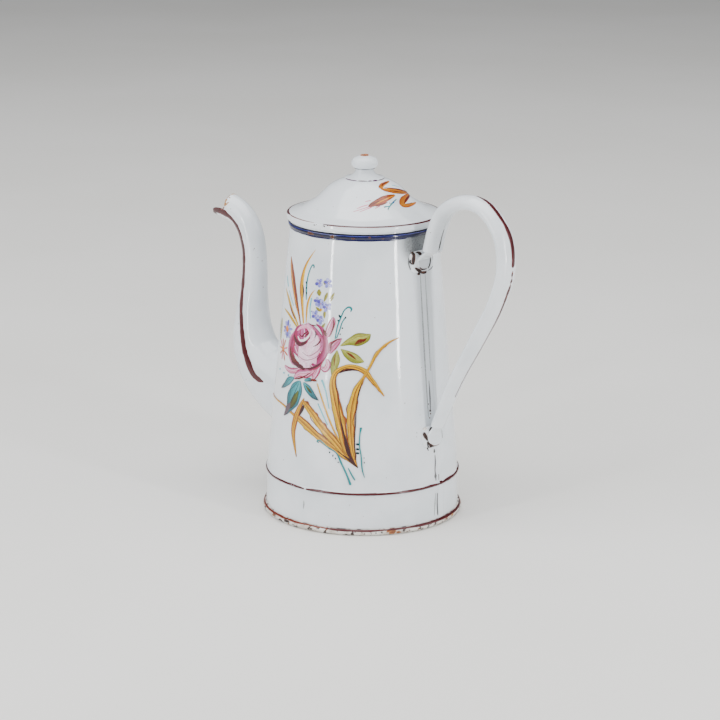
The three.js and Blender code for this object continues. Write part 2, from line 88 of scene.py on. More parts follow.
# Handle and tabs. Each point of the handle's line has a share of the reach, a level from 0 at the lower
# tab to 1 at the upper one and 2 at the crest, and a size.
HANDLE_OUT, HANDLE_CREST, LOW_TAB, HIGH_TAB = 76.1, 46.8, 66.0, 190.8
HANDLE_WIDTH, HANDLE_THICK, HANDLE_SHEET = 17.4, 10.8, 1.1
HANDLE_GAP, HANDLE_GAPE, GAPE_REACH, HANDLE_SOFT = 0.22, 1.3, 0.035, 0.28
HANDLE_LINE = [
    (0.137, 1.198, 1.04), (0.214, 1.533, 1.03), (0.334, 1.834, 1), (0.554, 2, 0.98),
    (0.787, 1.952, 0.98), (0.968, 1.625, 1), (0.996, 1.187, 1), (0.891, 0.881, 0.98),
    (0.628, 0.629, 0.92), (0.344, 0.367, 0.84), (0.16, 0.167, 0.78), (0.075, 0.069, 0.74),
]
PAD_HEIGHT, PAD_THICK, HIGH_PAD, LOW_PAD = 15.3, 1.3, 24.0, 21.0
PAD_CORNER, PAD_SUNK = 0.45, 0.4
TONGUE_WIDTH, TONGUE_THICK, TONGUE_OFF, TONGUE_CORNER, TONGUE_TIP = 13.2, 2.2, 0.3, 0.42, 5.0
TONGUE_INSIDE, TONGUE_FIT = 8.0, 0.8

# How far the foot's roll and the handle are drawn in, so that paint on them stays in the CAD part's box.
ROLL_ROOM, HANDLE_ROOM = 0.18, 0.16
ROLL_DRAWN = ROLL_RADIUS - ROLL_ROOM

# Lid. Each point of the dome has shares of the way from the crown out to the flange, and of the height.
LID_RADIUS, LID_BOTTOM, RIM_TOP, RIM_WIDTH, CROWN_TOP, CROWN_RADIUS = 55.0, 213.7, 218.4, 2.8, 242.0, 14.4
LID_SHEET, LID_HOLE = 1.1, 2.4
COLLAR_RADIUS, COLLAR_SHEET, COLLAR_BOTTOM, COLLAR_FLANGE = 49.2, 1.0, 201.7, 53.4
KNOB_TOP, KNOB_FOOT, KNOB_SHEET, STUD_HOLE = 258.2, 13.8, 1.0, 2.2
STUD_SHANK, STUD_TAIL, TAIL_TOP, TAIL_BOTTOM, STUD_HEAD, STUD_RISE = 1.7, 4.2, 240.9, 239.7, 3.1, 1.1
DOME = [
    (0.868, 0.062), (0.775, 0.118), (0.715, 0.176), (0.608, 0.281), (0.514, 0.384), (0.384, 0.596),
    (0.259, 0.791), (0.098, 0.94), (0, 1),
]


def wall_radius(height):
    return SHOULDER_RADIUS - WALL_SLOPE * (height - SHOULDER_HEIGHT)


def smoothstep(value):
    value = np.clip(value, 0, 1)
    return value * value * (3 - 2 * value)


def unit(vectors):
    return vectors / np.linalg.norm(vectors, axis=-1, keepdims=True)


def full_turn(steps):
    return np.linspace(0, 2 * np.pi, steps, endpoint=False)


def around(angle, radius, height):
    """Points about the pot's axis."""
    return np.stack([radius * np.cos(angle), radius * np.sin(angle), height], -1)


def squarish(angle, power):
    """The two measures, from -1 to 1, of a square with rounded corners, at angles about its middle."""
    across, up = np.cos(angle), np.sin(angle)
    return np.sign(across) * np.abs(across) ** power, np.sign(up) * np.abs(up) ** power


def travel(points):
    """How far along their run the points lie."""
    return np.concatenate([[0], np.cumsum(np.linalg.norm(np.diff(points, axis=0), axis=1))])


def put(name, data):
    """A new object in the scene."""
    made = bpy.data.objects.new(name, data)
    bpy.context.scene.collection.objects.link(made)
    return made


# Curves and outlines


def along_curve(points, shares):
    """Points of a smooth curve through the given ones, which doesn't overshoot where they lie close."""
    points = np.asarray(points, float)
    padded = np.vstack([2 * points[0] - points[1], points, 2 * points[-1] - points[-2]])
    at = np.clip(np.asarray(shares, float), 0, 1) * (len(points) - 1)
    first = np.minimum(at.astype(int), len(points) - 2)
    w = (at - first)[..., None]
    p0, p1, p2, p3 = (padded[first + k] for k in range(4))

    def knot(a, b):
        return np.sqrt(np.maximum(np.linalg.norm(b - a, axis=-1, keepdims=True), 1e-6))

    d0, d1, d2 = knot(p0, p1), knot(p1, p2), knot(p2, p3)
    m1 = ((p1 - p0) / d0 - (p2 - p0) / (d0 + d1) + (p2 - p1) / d1) * d1
    m2 = ((p2 - p1) / d1 - (p3 - p1) / (d1 + d2) + (p3 - p2) / d2) * d1
    c2 = -3 * p1 + 3 * p2 - 2 * m1 - m2
    c3 = 2 * p1 - 2 * p2 + m1 + m2
    return p1 + m1 * w + c2 * w**2 + c3 * w**3


def rounded(corners, steps=5):
    """An outline whose corners with a third number are rounded off over that length."""
    points = []
    for i, corner in enumerate(corners):
        here = np.array(corner[:2], float)
        if len(corner) == 2:
            points.append(here)
            continue
        before = np.array(corners[i - 1][:2], float)
        after = np.array(corners[(i + 1) % len(corners)][:2], float)
        a = here + (before - here) / np.linalg.norm(before - here) * corner[2]
        b = here + (after - here) / np.linalg.norm(after - here) * corner[2]
        for t in np.linspace(0, 1, steps + 1):
            points.append((1 - t) ** 2 * a + 2 * t * (1 - t) * here + t**2 * b)
    return np.array(points)


def held(points, near=0.5, far=3.0):
    """The outline with extra points close to the ends of its long stretches, which keep them flat."""
    out = []
    for a, b in zip(points, np.roll(points, -1, axis=0)):
        out.append(a)
        length = np.linalg.norm(b - a)
        if length > far:
            out += [a + (b - a) * near / length, b - (b - a) * near / length]
    return np.array(out)


def set_in(outer, thickness):
    """The outline's run set back by a thickness, square to the run."""
    outer = np.asarray(outer, float)
    along = unit(np.gradient(outer, axis=0))
    return outer + np.stack([-along[:, 1], along[:, 0]], 1) * thickness


# Meshes


def grid(rows, columns, close_rows=True, close_columns=True):
    """The quads of a grid of points numbered row by row."""
    r = np.arange(rows if close_rows else rows - 1)[:, None]
    c = np.arange(columns if close_columns else columns - 1)[None, :]
    r2, c2 = (r + 1) % rows, (c + 1) % columns
    quads = np.stack([r * columns + c, r * columns + c2, r2 * columns + c2, r2 * columns + c], -1)
    return quads.reshape(-1, 4).tolist()


def make(name, points, faces, material, body, replaces=(), slot="white_enamel", colours=None):
    """A smooth closed mesh that rides on a body."""
    mesh = bpy.data.meshes.new(name)
    at = (np.asarray(points, float).reshape(-1, 3) + [AXIS, 0, 0]) * MM
    mesh.from_pydata(at.tolist(), [], faces)
    if colours is not None:
        layer = mesh.color_attributes.new("paint", "FLOAT_COLOR", "POINT")
        layer.data.foreach_set("color", np.asarray(colours, np.float32).ravel())
    work = bmesh.new()
    work.from_mesh(mesh)
    bmesh.ops.remove_doubles(work, verts=work.verts, dist=1e-8)
    bmesh.ops.recalc_face_normals(work, faces=work.faces)
    work.to_mesh(mesh)
    work.free()
    mesh.materials.append(material)
    mesh.shade_smooth()
    made = put(name, mesh)
    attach(made, body)
    if replaces:
        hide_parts(*replaces)
    return made


TURN_COLUMNS = 192
# The columns of turned pieces with a seam: lines across the seam, in mm, and the rest of the turn.
SEAM_LINES = np.arange(-14.0, 2.1, 0.35)[::-1]
REST_OF_TURN = np.radians(np.linspace(197, 535, 180))
LEAST_RADIUS = 20


def even_columns(radius):
    return np.broadcast_to(np.arange(TURN_COLUMNS) * 2 * np.pi / TURN_COLUMNS, (len(radius), TURN_COLUMNS))


def seam_columns(radius):
    """Columns that keep a fixed distance from the middle plane under the handle, where the seams run."""
    under = np.pi - np.arcsin(SEAM_LINES[None, :] / radius[:, None])
    return np.hstack([under, np.broadcast_to(REST_OF_TURN, (len(radius), len(REST_OF_TURN)))])


def lathe(outline, columns=even_columns, bump=None):
    """Points and faces of a closed outline turned about the axis."""
    rows = np.asarray(outline, float)
    angles = columns(np.maximum(rows[:, 0], LEAST_RADIUS))
    radius = np.repeat(rows[:, :1], angles.shape[1], 1)
    height = np.repeat(rows[:, 1:], angles.shape[1], 1)
    if bump:
        radius = radius + bump(angles, radius, height)
    return around(angles, radius, height).reshape(-1, 3), grid(*angles.shape)


def ridge(angles, radius, centre, width, proud, ramp=0.7):
    """A low strip down a wall, at a fixed distance from the middle plane under the handle."""
    across = radius * np.sin(angles)
    strip = smoothstep((width / 2 + ramp / 2 - np.abs(across - centre)) / ramp)
    return proud * strip * (np.cos(angles) < 0)


def circle_outline(radius, centre_radius, centre_height, low=None, high=None, steps=28):
    """A rolled edge's outline, which may be cut flat below and above."""
    turn = full_turn(steps)
    ring = np.stack([centre_radius + radius * np.cos(turn), centre_height + radius * np.sin(turn)], 1)
    if low is not None:
        ring[:, 1] = np.clip(ring[:, 1], low, high)
    return ring


# Materials, with colours as on a screen, 0 to 255.
CLEAN_WHITE, SHADED_WHITE = (226, 231, 236), (215, 221, 226)
# The second colour here is the dark tone of painted shade under the handle's upper end, with dirt in it.
SPECK, SHADE_AND_DIRT = (104, 92, 84), (46, 48, 44)
GRIME, RUST, IRON = (176, 164, 152), (150, 92, 56), (52, 36, 32)
STUD_DARK, STUD_RUST, STUD_BRIGHT = (70, 40, 28), (206, 120, 62), (232, 196, 164)
# Where the painted shade of the handle's upper end lies on the wall, with dirt in it, and how far it reaches,
# in metres.
SHADE_AND_DIRT_PLACE, SHADE_AND_DIRT_FAR, SHADE_AND_DIRT_NEAR = (AXIS - 52.6, 3.5, 204.0), 0.019, 0.008


def new_material(name, **sockets):
    made = bpy.data.materials.new(name)
    made.use_nodes = True
    shader = made.node_tree.nodes["Principled BSDF"]
    for socket, value in sockets.items():
        shader.inputs[socket.replace("_", " ")].default_value = value
    return made, made.node_tree, shader


def node(tree, kind, inputs=None, **settings):
    made = tree.nodes.new("ShaderNode" + kind)
    for name, value in settings.items():
        setattr(made, name, value)
    for name, value in (inputs or {}).items():
        if isinstance(value, bpy.types.NodeSocket):
            tree.links.new(value, made.inputs[name])
        else:
            made.inputs[name].default_value = value
    return made


def place(tree):
    return node(tree, "TexCoord").outputs["Object"]


def noise(tree, scale, detail=2.0, rough=0.5, offset=0.0):
    at = node(tree, "VectorMath", {0: place(tree), 1: (offset, offset, offset)}, operation="ADD")
    inputs = {"Vector": at.outputs[0], "Scale": scale, "Detail": detail, "Roughness": rough}
    return node(tree, "TexNoise", inputs).outputs["Fac"]


def ranged(tree, value, low, high):
    """The value, which runs from 0 to 1, spread between two others."""
    return node(tree, "MapRange", {"Value": value, "To Min": low, "To Max": high}).outputs["Result"]


def band(tree, value, low, high):
    """0 below low, 1 above high, smooth between."""
    inputs = {"Value": value, "From Min": low, "From Max": high}
    return node(tree, "MapRange", inputs, interpolation_type="SMOOTHSTEP").outputs["Result"]


def maths(tree, operation, a, b):
    return node(tree, "Math", {0: a, 1: b}, operation=operation).outputs[0]


def mixed(tree, factor, a, b):
    return node(tree, "Mix", {0: factor, 6: a, 7: b}, data_type="RGBA").outputs[2]


def bumped(tree, shader, height, distance, strength=1.0, after=None):
    inputs = {"Height": height, "Distance": distance, "Strength": strength}
    if after:
        inputs["Normal"] = after
    made = node(tree, "Bump", inputs)
    tree.links.new(made.outputs["Normal"], shader.inputs["Normal"])
    return made.outputs["Normal"]


def linear(r, g, b):
    """A colour given as on a screen, 0 to 255, as the shader's light values."""
    value = np.array([r, g, b], float) / 255
    return np.where(value <= 0.04045, value / 12.92, ((value + 0.055) / 1.055) ** 2.4)


def rgba(*colour):
    return (*linear(*colour), 1.0)


def enamel(name, clean, shade, speck_share=0.0, roughness=0.08, with_shade_and_dirt=False):
    """Glass-hard enamel: faint cloudy shades, a fine orange peel, pin-hole specks, and painted shade with
    grainy dirt at a place.
    """
    made, tree, shader = new_material(name, Roughness=roughness, IOR=1.52)
    cloud = band(tree, noise(tree, 28, 3), 0.35, 0.7)
    colour = mixed(tree, cloud, rgba(*clean), rgba(*shade))
    specks = band(tree, noise(tree, 520, 1, 0.4, 3.1), 0.765 - speck_share, 0.79 - speck_share)
    colour = mixed(tree, specks, colour, rgba(*SPECK))
    # Painted shade of the handle's upper end on the wall, with grainy dirt in it.
    if with_shade_and_dirt:
        middle = [c * MM for c in SHADE_AND_DIRT_PLACE]
        away = node(tree, "VectorMath", {0: place(tree), 1: middle}, operation="DISTANCE")
        near = band(tree, away.outputs["Value"], SHADE_AND_DIRT_FAR, SHADE_AND_DIRT_NEAR)
        grains = ranged(tree, noise(tree, 900, 3, 0.7), 0.55, 1.0)
        colour = mixed(tree, maths(tree, "MULTIPLY", near, grains), colour, rgba(*SHADE_AND_DIRT))
    tree.links.new(colour, shader.inputs["Base Color"])
    wave = bumped(tree, shader, noise(tree, 24, 1, 0.4), 0.0006, 0.35)
    wave = bumped(tree, shader, noise(tree, 150, 1, 0.4), 0.00012, 0.4, wave)
    bumped(tree, shader, noise(tree, 420, 1, 0.4), 0.00004, 0.35, wave)
    return made


def worn(name, clean, speck_low, speck_high, rust_low, rust_high):
    """Enamel worn off in specks down to dark iron, with rust round the wear."""
    made, tree, shader = new_material(name, IOR=1.5)
    patches = noise(tree, 75, 4, 0.62, 1.7)
    rust = band(tree, patches, rust_low, rust_high)
    dark = band(tree, noise(tree, 330, 3, 0.6, 5.2), speck_low, speck_high)
    grime = band(tree, noise(tree, 120, 3, 0.6, 9.4), 0.35, 0.75)
    colour = mixed(tree, grime, rgba(*clean), rgba(*GRIME))
    colour = mixed(tree, rust, colour, rgba(*RUST))
    colour = mixed(tree, dark, colour, rgba(*IRON))
    tree.links.new(colour, shader.inputs["Base Color"])
    rough = ranged(tree, maths(tree, "MAXIMUM", rust, dark), 0.28, 0.75)
    tree.links.new(rough, shader.inputs["Roughness"])
    pits = maths(tree, "ADD", dark, maths(tree, "MULTIPLY", rust, 0.4))
    bumped(tree, shader, maths(tree, "SUBTRACT", 1.0, pits), 0.00015, 0.8)
    return made


def fired_paint(name, roughness, vary):
    """Brushed enamel colours from the strokes' own colours, a little uneven."""
    made, tree, shader = new_material(name, Roughness=roughness, IOR=1.5)
    tint = node(tree, "Attribute", attribute_name="paint").outputs["Color"]
    thin = band(tree, noise(tree, 900, 2, 0.6), 0.3, 0.75)
    deeper = node(tree, "HueSaturation", {"Value": 1 - vary, "Saturation": 1.05, "Color": tint}).outputs[0]
    tree.links.new(mixed(tree, thin, tint, deeper), shader.inputs["Base Color"])
    bumped(tree, shader, noise(tree, 700, 2), 0.00003, 0.5)
    return made


def rusty(name):
    """A stud's head gone to grainy orange rust."""
    made, tree, shader = new_material(name, Metallic=0.0, IOR=1.45)
    grains = noise(tree, 900, 4, 0.65)
    colour = mixed(tree, band(tree, grains, 0.4, 0.62), rgba(*STUD_DARK), rgba(*STUD_RUST))
    colour = mixed(tree, band(tree, noise(tree, 380, 2, 0.5, 4.4), 0.56, 0.68), colour, rgba(*STUD_BRIGHT))
    tree.links.new(colour, shader.inputs["Base Color"])
    tree.links.new(ranged(tree, grains, 0.55, 0.95), shader.inputs["Roughness"])
    bumped(tree, shader, grains, 0.0003, 0.9)
    return made


white = enamel("white_enamel_fired", CLEAN_WHITE, SHADED_WHITE, -0.03)
# The wall's enamel carries painted shade under the handle's upper end.
painted_shade_and_dirt = enamel("white_enamel_sooty", CLEAN_WHITE, SHADED_WHITE, -0.03, with_shade_and_dirt=True)
blue = enamel("blue_enamel_fired", (6, 6, 42), (14, 14, 60), 0.02, 0.12)
foot_worn = worn("worn_foot_enamel", (222, 220, 214), 0.53, 0.58, 0.56, 0.70)
paint_look = fired_paint("fired_brushwork", 0.2, 0.22)
chip_look = fired_paint("bare_chips", 0.72, 0.45)
rust_look = rusty("rusty_stud")

# Foot and body


def band_bump(angles, radius, height):
    outer = (radius > BAND_TOP - 0.5).astype(float)
    return outer * ridge(angles, radius, **LAP)


def shell_bump(angles, radius, height):
    outer = (radius > wall_radius(height) - 0.3) & (height > WALL_START - 0.1)
    return outer * ridge(angles, radius, **SEAM)


foot_outline = circle_outline(ROLL_DRAWN, BAND_BOTTOM, ROLL_CENTRE, 0.0, ROLL_TOP)
make("foot_roll", *lathe(foot_outline), foot_worn, "pot", ["foot_bead"], "worn_enamel")

band_outline = held(rounded([
    (BAND_BOTTOM - SHEET, ROLL_TOP), (BAND_BOTTOM, ROLL_TOP), (BAND_TOP, BAND_HEIGHT, 0.4),
    (BAND_TOP - SHEET, BAND_HEIGHT),
]))
make("band_wall", *lathe(band_outline, seam_columns, band_bump), white, "pot", ["foot_band"])

floor_radius = BAND_BOTTOM - SHEET - FLOOR_PLAY
floor_inside = floor_radius - SHEET
floor_outline = held(rounded([
    (0, FLOOR_TOP + FLOOR_RISE), (floor_inside, FLOOR_TOP - SHEET, FLOOR_BEND), (floor_inside, FLOOR_BOTTOM),
    (floor_radius, FLOOR_BOTTOM, 0.4), (floor_radius, FLOOR_TOP, FLOOR_BEND),
    (0, FLOOR_TOP + FLOOR_RISE + SHEET),
]))
make("pot_floor", *lathe(floor_outline), white, "pot", ["bottom_plate"])

crease_radius, crease_top = SHELL_BOTTOM + CREASE_PROUD, BAND_HEIGHT + CREASE_HIGH
wall_outline = held(rounded([
    (SHELL_BOTTOM - SHEET, BAND_HEIGHT), (crease_radius, BAND_HEIGHT, 0.65), (crease_radius, crease_top, 0.7),
    (SHELL_BOTTOM, WALL_START, 0.6), (SHOULDER_RADIUS, SHOULDER_HEIGHT, SHOULDER_BEND),
    (MOUTH_RADIUS, SHELL_TOP), (MOUTH_RADIUS - SHEET, SHELL_TOP),
    (SHOULDER_RADIUS - SHEET, SHOULDER_HEIGHT, SHOULDER_BEND),
]))


def strainer_cutter():
    """Short rods in a six-sided pattern, where the strainer's holes go."""
    cutter = bmesh.new()
    turn = Matrix.Rotation(math.pi / 2, 4, "Y")
    for q in range(-2, 3):
        for r in range(-2, 3):
            if abs(q + r) > 2:
                continue
            across, up = HOLE_PITCH * (q + r / 2), HOLE_PITCH * r * math.sin(math.pi / 3)
            at = Vector((AXIS + wall_radius(HOLES_MIDDLE), across, HOLES_MIDDLE + up)) * MM
            bmesh.ops.create_cone(
                cutter, cap_ends=True, segments=20, radius1=HOLE_RADIUS * MM, radius2=HOLE_RADIUS * MM,
                depth=HOLE_CUT * MM, matrix=Matrix.Translation(at) @ turn,
            )
    mesh = bpy.data.meshes.new("strainer_holes")
    cutter.to_mesh(mesh)
    cutter.free()
    return mesh


def wall_with_holes(points, faces):
    """The wall with the strainer's holes cut through it behind the spout."""
    wall = make("pot_wall", points, faces, painted_shade_and_dirt, "pot", ["body_shell"])
    mesh = strainer_cutter()
    tool = put("strainer_holes", mesh)
    cut = wall.modifiers.new("holes", "BOOLEAN")
    cut.object, cut.operation, cut.solver = tool, "DIFFERENCE", "EXACT"
    done = bpy.data.meshes.new_from_object(wall.evaluated_get(bpy.context.evaluated_depsgraph_get()))
    wall.modifiers.clear()
    wall.data = done
    bpy.data.objects.remove(tool)
    bpy.data.meshes.remove(mesh)


wall_with_holes(*lathe(wall_outline, seam_columns, shell_bump))

bead_outline = circle_outline(BEAD_RADIUS, MOUTH_RADIUS - SHEET / 2, BEAD_CENTRE)
make("mouth_roll", *lathe(bead_outline), blue, "pot", ["mouth_bead"], "blue_enamel")

# Lid

flange = LID_RADIUS - RIM_WIDTH / 2
rim_inside = LID_RADIUS - RIM_WIDTH
crown_out, crown_up = flange - CROWN_RADIUS, CROWN_TOP - RIM_TOP
dome_knots = [(flange - 0.4, RIM_TOP + 0.02)]
dome_knots += [(CROWN_RADIUS + crown_out * out, RIM_TOP + crown_up * up) for out, up in DOME]
dome_run = along_curve(dome_knots, np.linspace(0, 1, 64))
lid_top = np.vstack([dome_run, [(8, CROWN_TOP), (LID_HOLE, CROWN_TOP)]])
under = set_in(lid_top, LID_SHEET)[::-1]
rim = rounded([
    (rim_inside, LID_BOTTOM + 1.2), (rim_inside, LID_BOTTOM, 0.7), (LID_RADIUS, LID_BOTTOM, 1.3),
    (LID_RADIUS, RIM_TOP, 1.4), (flange - 0.6, RIM_TOP),
])[:-1]
lid_outline = np.vstack([rim[1:], lid_top, under[under[:, 0] < rim_inside - 0.3], rim[:1]])
make("lid_dome", *lathe(lid_outline), white, "lid", ["lid_shell"])

collar_inside, collar_seat = COLLAR_RADIUS - COLLAR_SHEET, LID_BOTTOM - COLLAR_SHEET
collar_outline = held(rounded([
    (collar_inside, COLLAR_BOTTOM), (COLLAR_RADIUS, COLLAR_BOTTOM, 0.3), (COLLAR_RADIUS, collar_seat, 0.5),
    (COLLAR_FLANGE, collar_seat, 0.2), (COLLAR_FLANGE, LID_BOTTOM), (collar_inside, LID_BOTTOM, 0.6),
]))
make("lid_neck", *lathe(collar_outline), white, "lid", ["lid_collar"])

knob_face = along_curve([
    (KNOB_FOOT, 243), (10.56, 243.78), (7.5, 246.05), (6.5, 248.9), (8.5, 250.3), (9.5, 253.02),
    (8.05, 256.26), (3.6, KNOB_TOP),
], np.linspace(0, 1, 60))
knob_step = rounded([
    (KNOB_FOOT - 1, CROWN_TOP), (KNOB_FOOT, CROWN_TOP, 0.35), (KNOB_FOOT, CROWN_TOP + 1),
])[:-1]
knob_outline = np.vstack([
    knob_step, knob_face, [(STUD_HOLE, KNOB_TOP), (STUD_HOLE, KNOB_TOP - KNOB_SHEET)],
    set_in(knob_face, KNOB_SHEET)[::-1][4:-8],
])
make("knob_body", *lathe(knob_outline), white, "lid", ["lid_knob"])


def stud():
    """The stud's head, rusted and uneven, with its shank and the flattened tail inside the lid."""
    turn = np.linspace(0, np.pi / 2, 9)
    head_rows = [(STUD_HEAD * math.cos(a), KNOB_TOP + STUD_RISE * math.sin(a)) for a in turn[:-1]]
    points, faces = lathe([
        (0, TAIL_BOTTOM), (STUD_TAIL, TAIL_BOTTOM), (STUD_TAIL, TAIL_TOP), (STUD_SHANK, TAIL_TOP),
        (STUD_SHANK, KNOB_TOP), *head_rows, (0, KNOB_TOP + STUD_RISE),
    ])
    head = points[:, 2] > KNOB_TOP
    angle = np.arctan2(points[:, 1], points[:, 0])
    lump = 1 + 0.10 * np.sin(3 * angle + 0.7) + 0.06 * np.sin(7 * angle + 2.1)
    points[head, :2] *= lump[head, None]
    points[head, 2] -= 0.12 * (1 + np.sin(5 * angle[head] + points[head, 0]))
    make("stud_head", points, faces, rust_look, "lid", ["knob_stud"], "rusty_steel")


stud()

# Spout


def tube_points(line, sizes, shares, angles, inset, halves):
    """Points on a tube about a line of (x, z): the section is an ellipse of half sizes halves(sizes)."""
    step = 1e-4
    centre = along_curve(line, shares)
    along = along_curve(line, shares + step) - along_curve(line, shares - step)
    along /= np.linalg.norm(along, axis=-1, keepdims=True)
    out_half, across_half = halves(along_curve(sizes, shares))
    out = (out_half - inset) * np.cos(angles)
    across = (across_half - inset) * np.sin(angles)
    return np.stack([centre[..., 0] - along[..., 1] * out, across, centre[..., 1] + along[..., 0] * out], -1)


spout_line = [(SPOUT_ROOT + out * SPOUT_OUT, SPOUT_LOW + up * SPOUT_RISE) for out, up, *_ in SPOUT_LINE]
spout_sizes = [(depth, width) for *_, depth, width in SPOUT_LINE]


def spout_halves(size):
    return NECK + (ROOT_DEPTH - NECK) * size[..., 0], NECK + (ROOT_WIDTH - NECK) * size[..., 1]


def spout_point(shares, angles, inset=0.0):
    shares, angles = np.broadcast_arrays(shares, angles)
    return tube_points(spout_line, spout_sizes, shares, angles, inset, spout_halves)


def mouth_cut(points):
    """Above 0 where the spout's mouth is cut away."""
    ahead = points[..., 0] - HOOD_REACH
    above = points[..., 2] - (HOOD_CUT - LIP_SLOPE * ahead)
    mix = np.clip(0.5 + 0.5 * (above - ahead) / HOOD_CORNER, 0, 1)
    corner = above * (1 - mix) + ahead * mix - HOOD_CORNER * mix * (1 - mix)
    leaning = points[..., 0] - LIP_REACH + LIP_LEAN * np.maximum(points[..., 2] - LIP_BOTTOM, 0)
    return np.maximum(corner, leaning)


def first_over(values, shares):
    """For each column, the share at which its values first pass 0 for good."""
    over = np.argmax(values > 0, axis=0)
    columns = np.arange(values.shape[1])
    a, b = values[over - 1, columns], values[over, columns]
    return shares[over - 1] + (shares[over] - shares[over - 1]) * (-a / (b - a))


def wall_distance(points):
    return np.hypot(points[..., 0], points[..., 1]) - wall_radius(points[..., 2])


SPOUT_ANGLES = full_turn(112)
# The shares of the spout's line that its root and its mouth are looked for in, and how far short of the
# cut its outer face ends.
ROOT_SHARES, MOUTH_SHARES = np.linspace(0.0, 0.5, 900), np.linspace(0.6, 1.0, 2400)
CUT_SHORT = 0.0009


def spout_start(inset, clearance):
    points = spout_point(ROOT_SHARES[:, None], SPOUT_ANGLES, inset)
    return first_over(wall_distance(points) - clearance, ROOT_SHARES)


def spout_end(inset):
    return first_over(mouth_cut(spout_point(MOUTH_SHARES[:, None], SPOUT_ANGLES, inset)), MOUTH_SHARES)


def weld_rings(start):
    """The rings of the fillet from the wall up to the spout, and the shares at which it ends."""
    step = 0.001
    weld = spout_point(start, SPOUT_ANGLES)
    per_mm = step / np.linalg.norm(spout_point(start + step, SPOUT_ANGLES) - weld, axis=1)
    fillet_end = start + WELD_RISE * per_mm
    normal = unit(np.stack([weld[:, 0], weld[:, 1], np.hypot(weld[:, 0], weld[:, 1]) * WALL_SLOPE], 1))
    along = unit(np.roll(weld, -1, 0) - np.roll(weld, 1, 0))
    away = unit(np.cross(normal, along))
    away *= np.sign(((weld - weld.mean(0)) * away).sum(1))[:, None]
    foot = weld + WELD_FOOT * away
    angle = np.arctan2(foot[:, 1], foot[:, 0])

    def on_wall(proud):
        return around(angle, wall_radius(foot[:, 2]) + proud, foot[:, 2])

    low, top = on_wall(0.02), spout_point(fillet_end, SPOUT_ANGLES)
    bend = [(1 - t) ** 2 * low + 2 * t * (1 - t) * weld + t**2 * top for t in np.linspace(0, 1, 8)]
    return [on_wall(-WELD_SUNK), *bend], fillet_end


def spout():
    """The hollow spout, from its weld to the cut of its mouth and back along the inside."""
    outer_end, inner_end = spout_end(0), spout_end(SHEET)
    inner_root = spout_start(SHEET, -WELD_SUNK)
    rings, fillet_end = weld_rings(spout_start(0, 0))
    edge, inner_edge = outer_end - CUT_SHORT, inner_end - CUT_SHORT
    for s in np.linspace(0, 1, 170)[1:]:
        rings.append(spout_point(fillet_end + (edge - fillet_end) * s, SPOUT_ANGLES))
    rings.append(spout_point(outer_end, SPOUT_ANGLES, CUT_ROUND))
    rings.append(spout_point(inner_end, SPOUT_ANGLES, SHEET - CUT_ROUND))
    for s in np.linspace(0, 1, 90):
        rings.append(spout_point(inner_edge + (inner_root - inner_end + CUT_SHORT) * s, SPOUT_ANGLES, SHEET))
    faces = grid(len(rings), len(SPOUT_ANGLES))
    make("spout_shell", np.array(rings), faces, white, "pot", ["spout_left_half", "spout_right_half"])
    return outer_end, inner_end


outer_cut, inner_cut = spout()

# Handle and tabs


def handle_knots():
    for out, level, size in HANDLE_LINE:
        height = LOW_TAB + (HIGH_TAB - LOW_TAB) * min(level, 1) + max(level - 1, 0) * HANDLE_CREST
        yield (-wall_radius(height) - out * HANDLE_OUT, height), (size, 0)


handle_line, handle_sizes = (list(x) for x in zip(*handle_knots()))


def handle_halves(size):
    return size[..., 0] * HANDLE_THICK / 2, size[..., 0] * HANDLE_WIDTH / 2


def handle_point(shares, angles, inset=0.0):
    shares, angles = np.broadcast_arrays(shares, angles)
    return tube_points(handle_line, handle_sizes, shares, angles, inset + HANDLE_ROOM, handle_halves)


HANDLE_ROWS, HANDLE_COLUMNS = 240, 56
# How far the upper end's rounded edge and the lips of the open seam stand out.
HANDLE_END, SEAM_LIP = 0.25, 0.15


def handle():
    """The tube with its open seam, which gapes a little at the upper end."""
    shares = np.concatenate([[0.0], np.linspace(0.0, 1, HANDLE_ROWS), [1.0]])
    columns = np.linspace(0, 1, HANDLE_COLUMNS)
    rings = []
    for i, share in enumerate(shares):
        at_end = i in (0, len(shares) - 1)
        half_gap = (HANDLE_GAP + HANDLE_GAPE * math.exp(-share / GAPE_REACH)) / HANDLE_WIDTH * 2
        turn = half_gap + (2 * np.pi - 2 * half_gap) * columns
        soft = HANDLE_SOFT if at_end else 0.0
        outer = handle_point(np.full(HANDLE_COLUMNS, share), turn, soft)
        inner = handle_point(np.full(HANDLE_COLUMNS, share), turn, HANDLE_SHEET - soft)
        if at_end:
            way = unit(handle_point(0.002, 0.0) - handle_point(0.0, 0.0)) * (-HANDLE_END if i == 0 else 0)
            outer, inner = outer + way, inner + way
        first_lip = (outer[:1] + inner[:1]) / 2 + unit(outer[:1] - outer[1:2]) * SEAM_LIP
        last_lip = (outer[-1:] + inner[-1:]) / 2 + unit(outer[-1:] - outer[-2:-1]) * SEAM_LIP
        rings.append(np.vstack([outer, last_lip, inner[::-1], first_lip]))
    rings = np.array(rings)
    size = rings.shape[1]
    faces = grid(len(rings), size, close_rows=False)
    last = HANDLE_COLUMNS - 1
    for base in (0, (len(rings) - 1) * size):
        for k in range(last):
            back = size - 2 - k
            faces.append([base + k, base + k + 1, base + back - 1, base + back])
        faces.append([base, base + size - 2, base + size - 1])
        faces.append([base + last, base + last + 1, base + last + 2])
    make("handle_loop", rings, faces, white, "pot", ["handle_tube"])


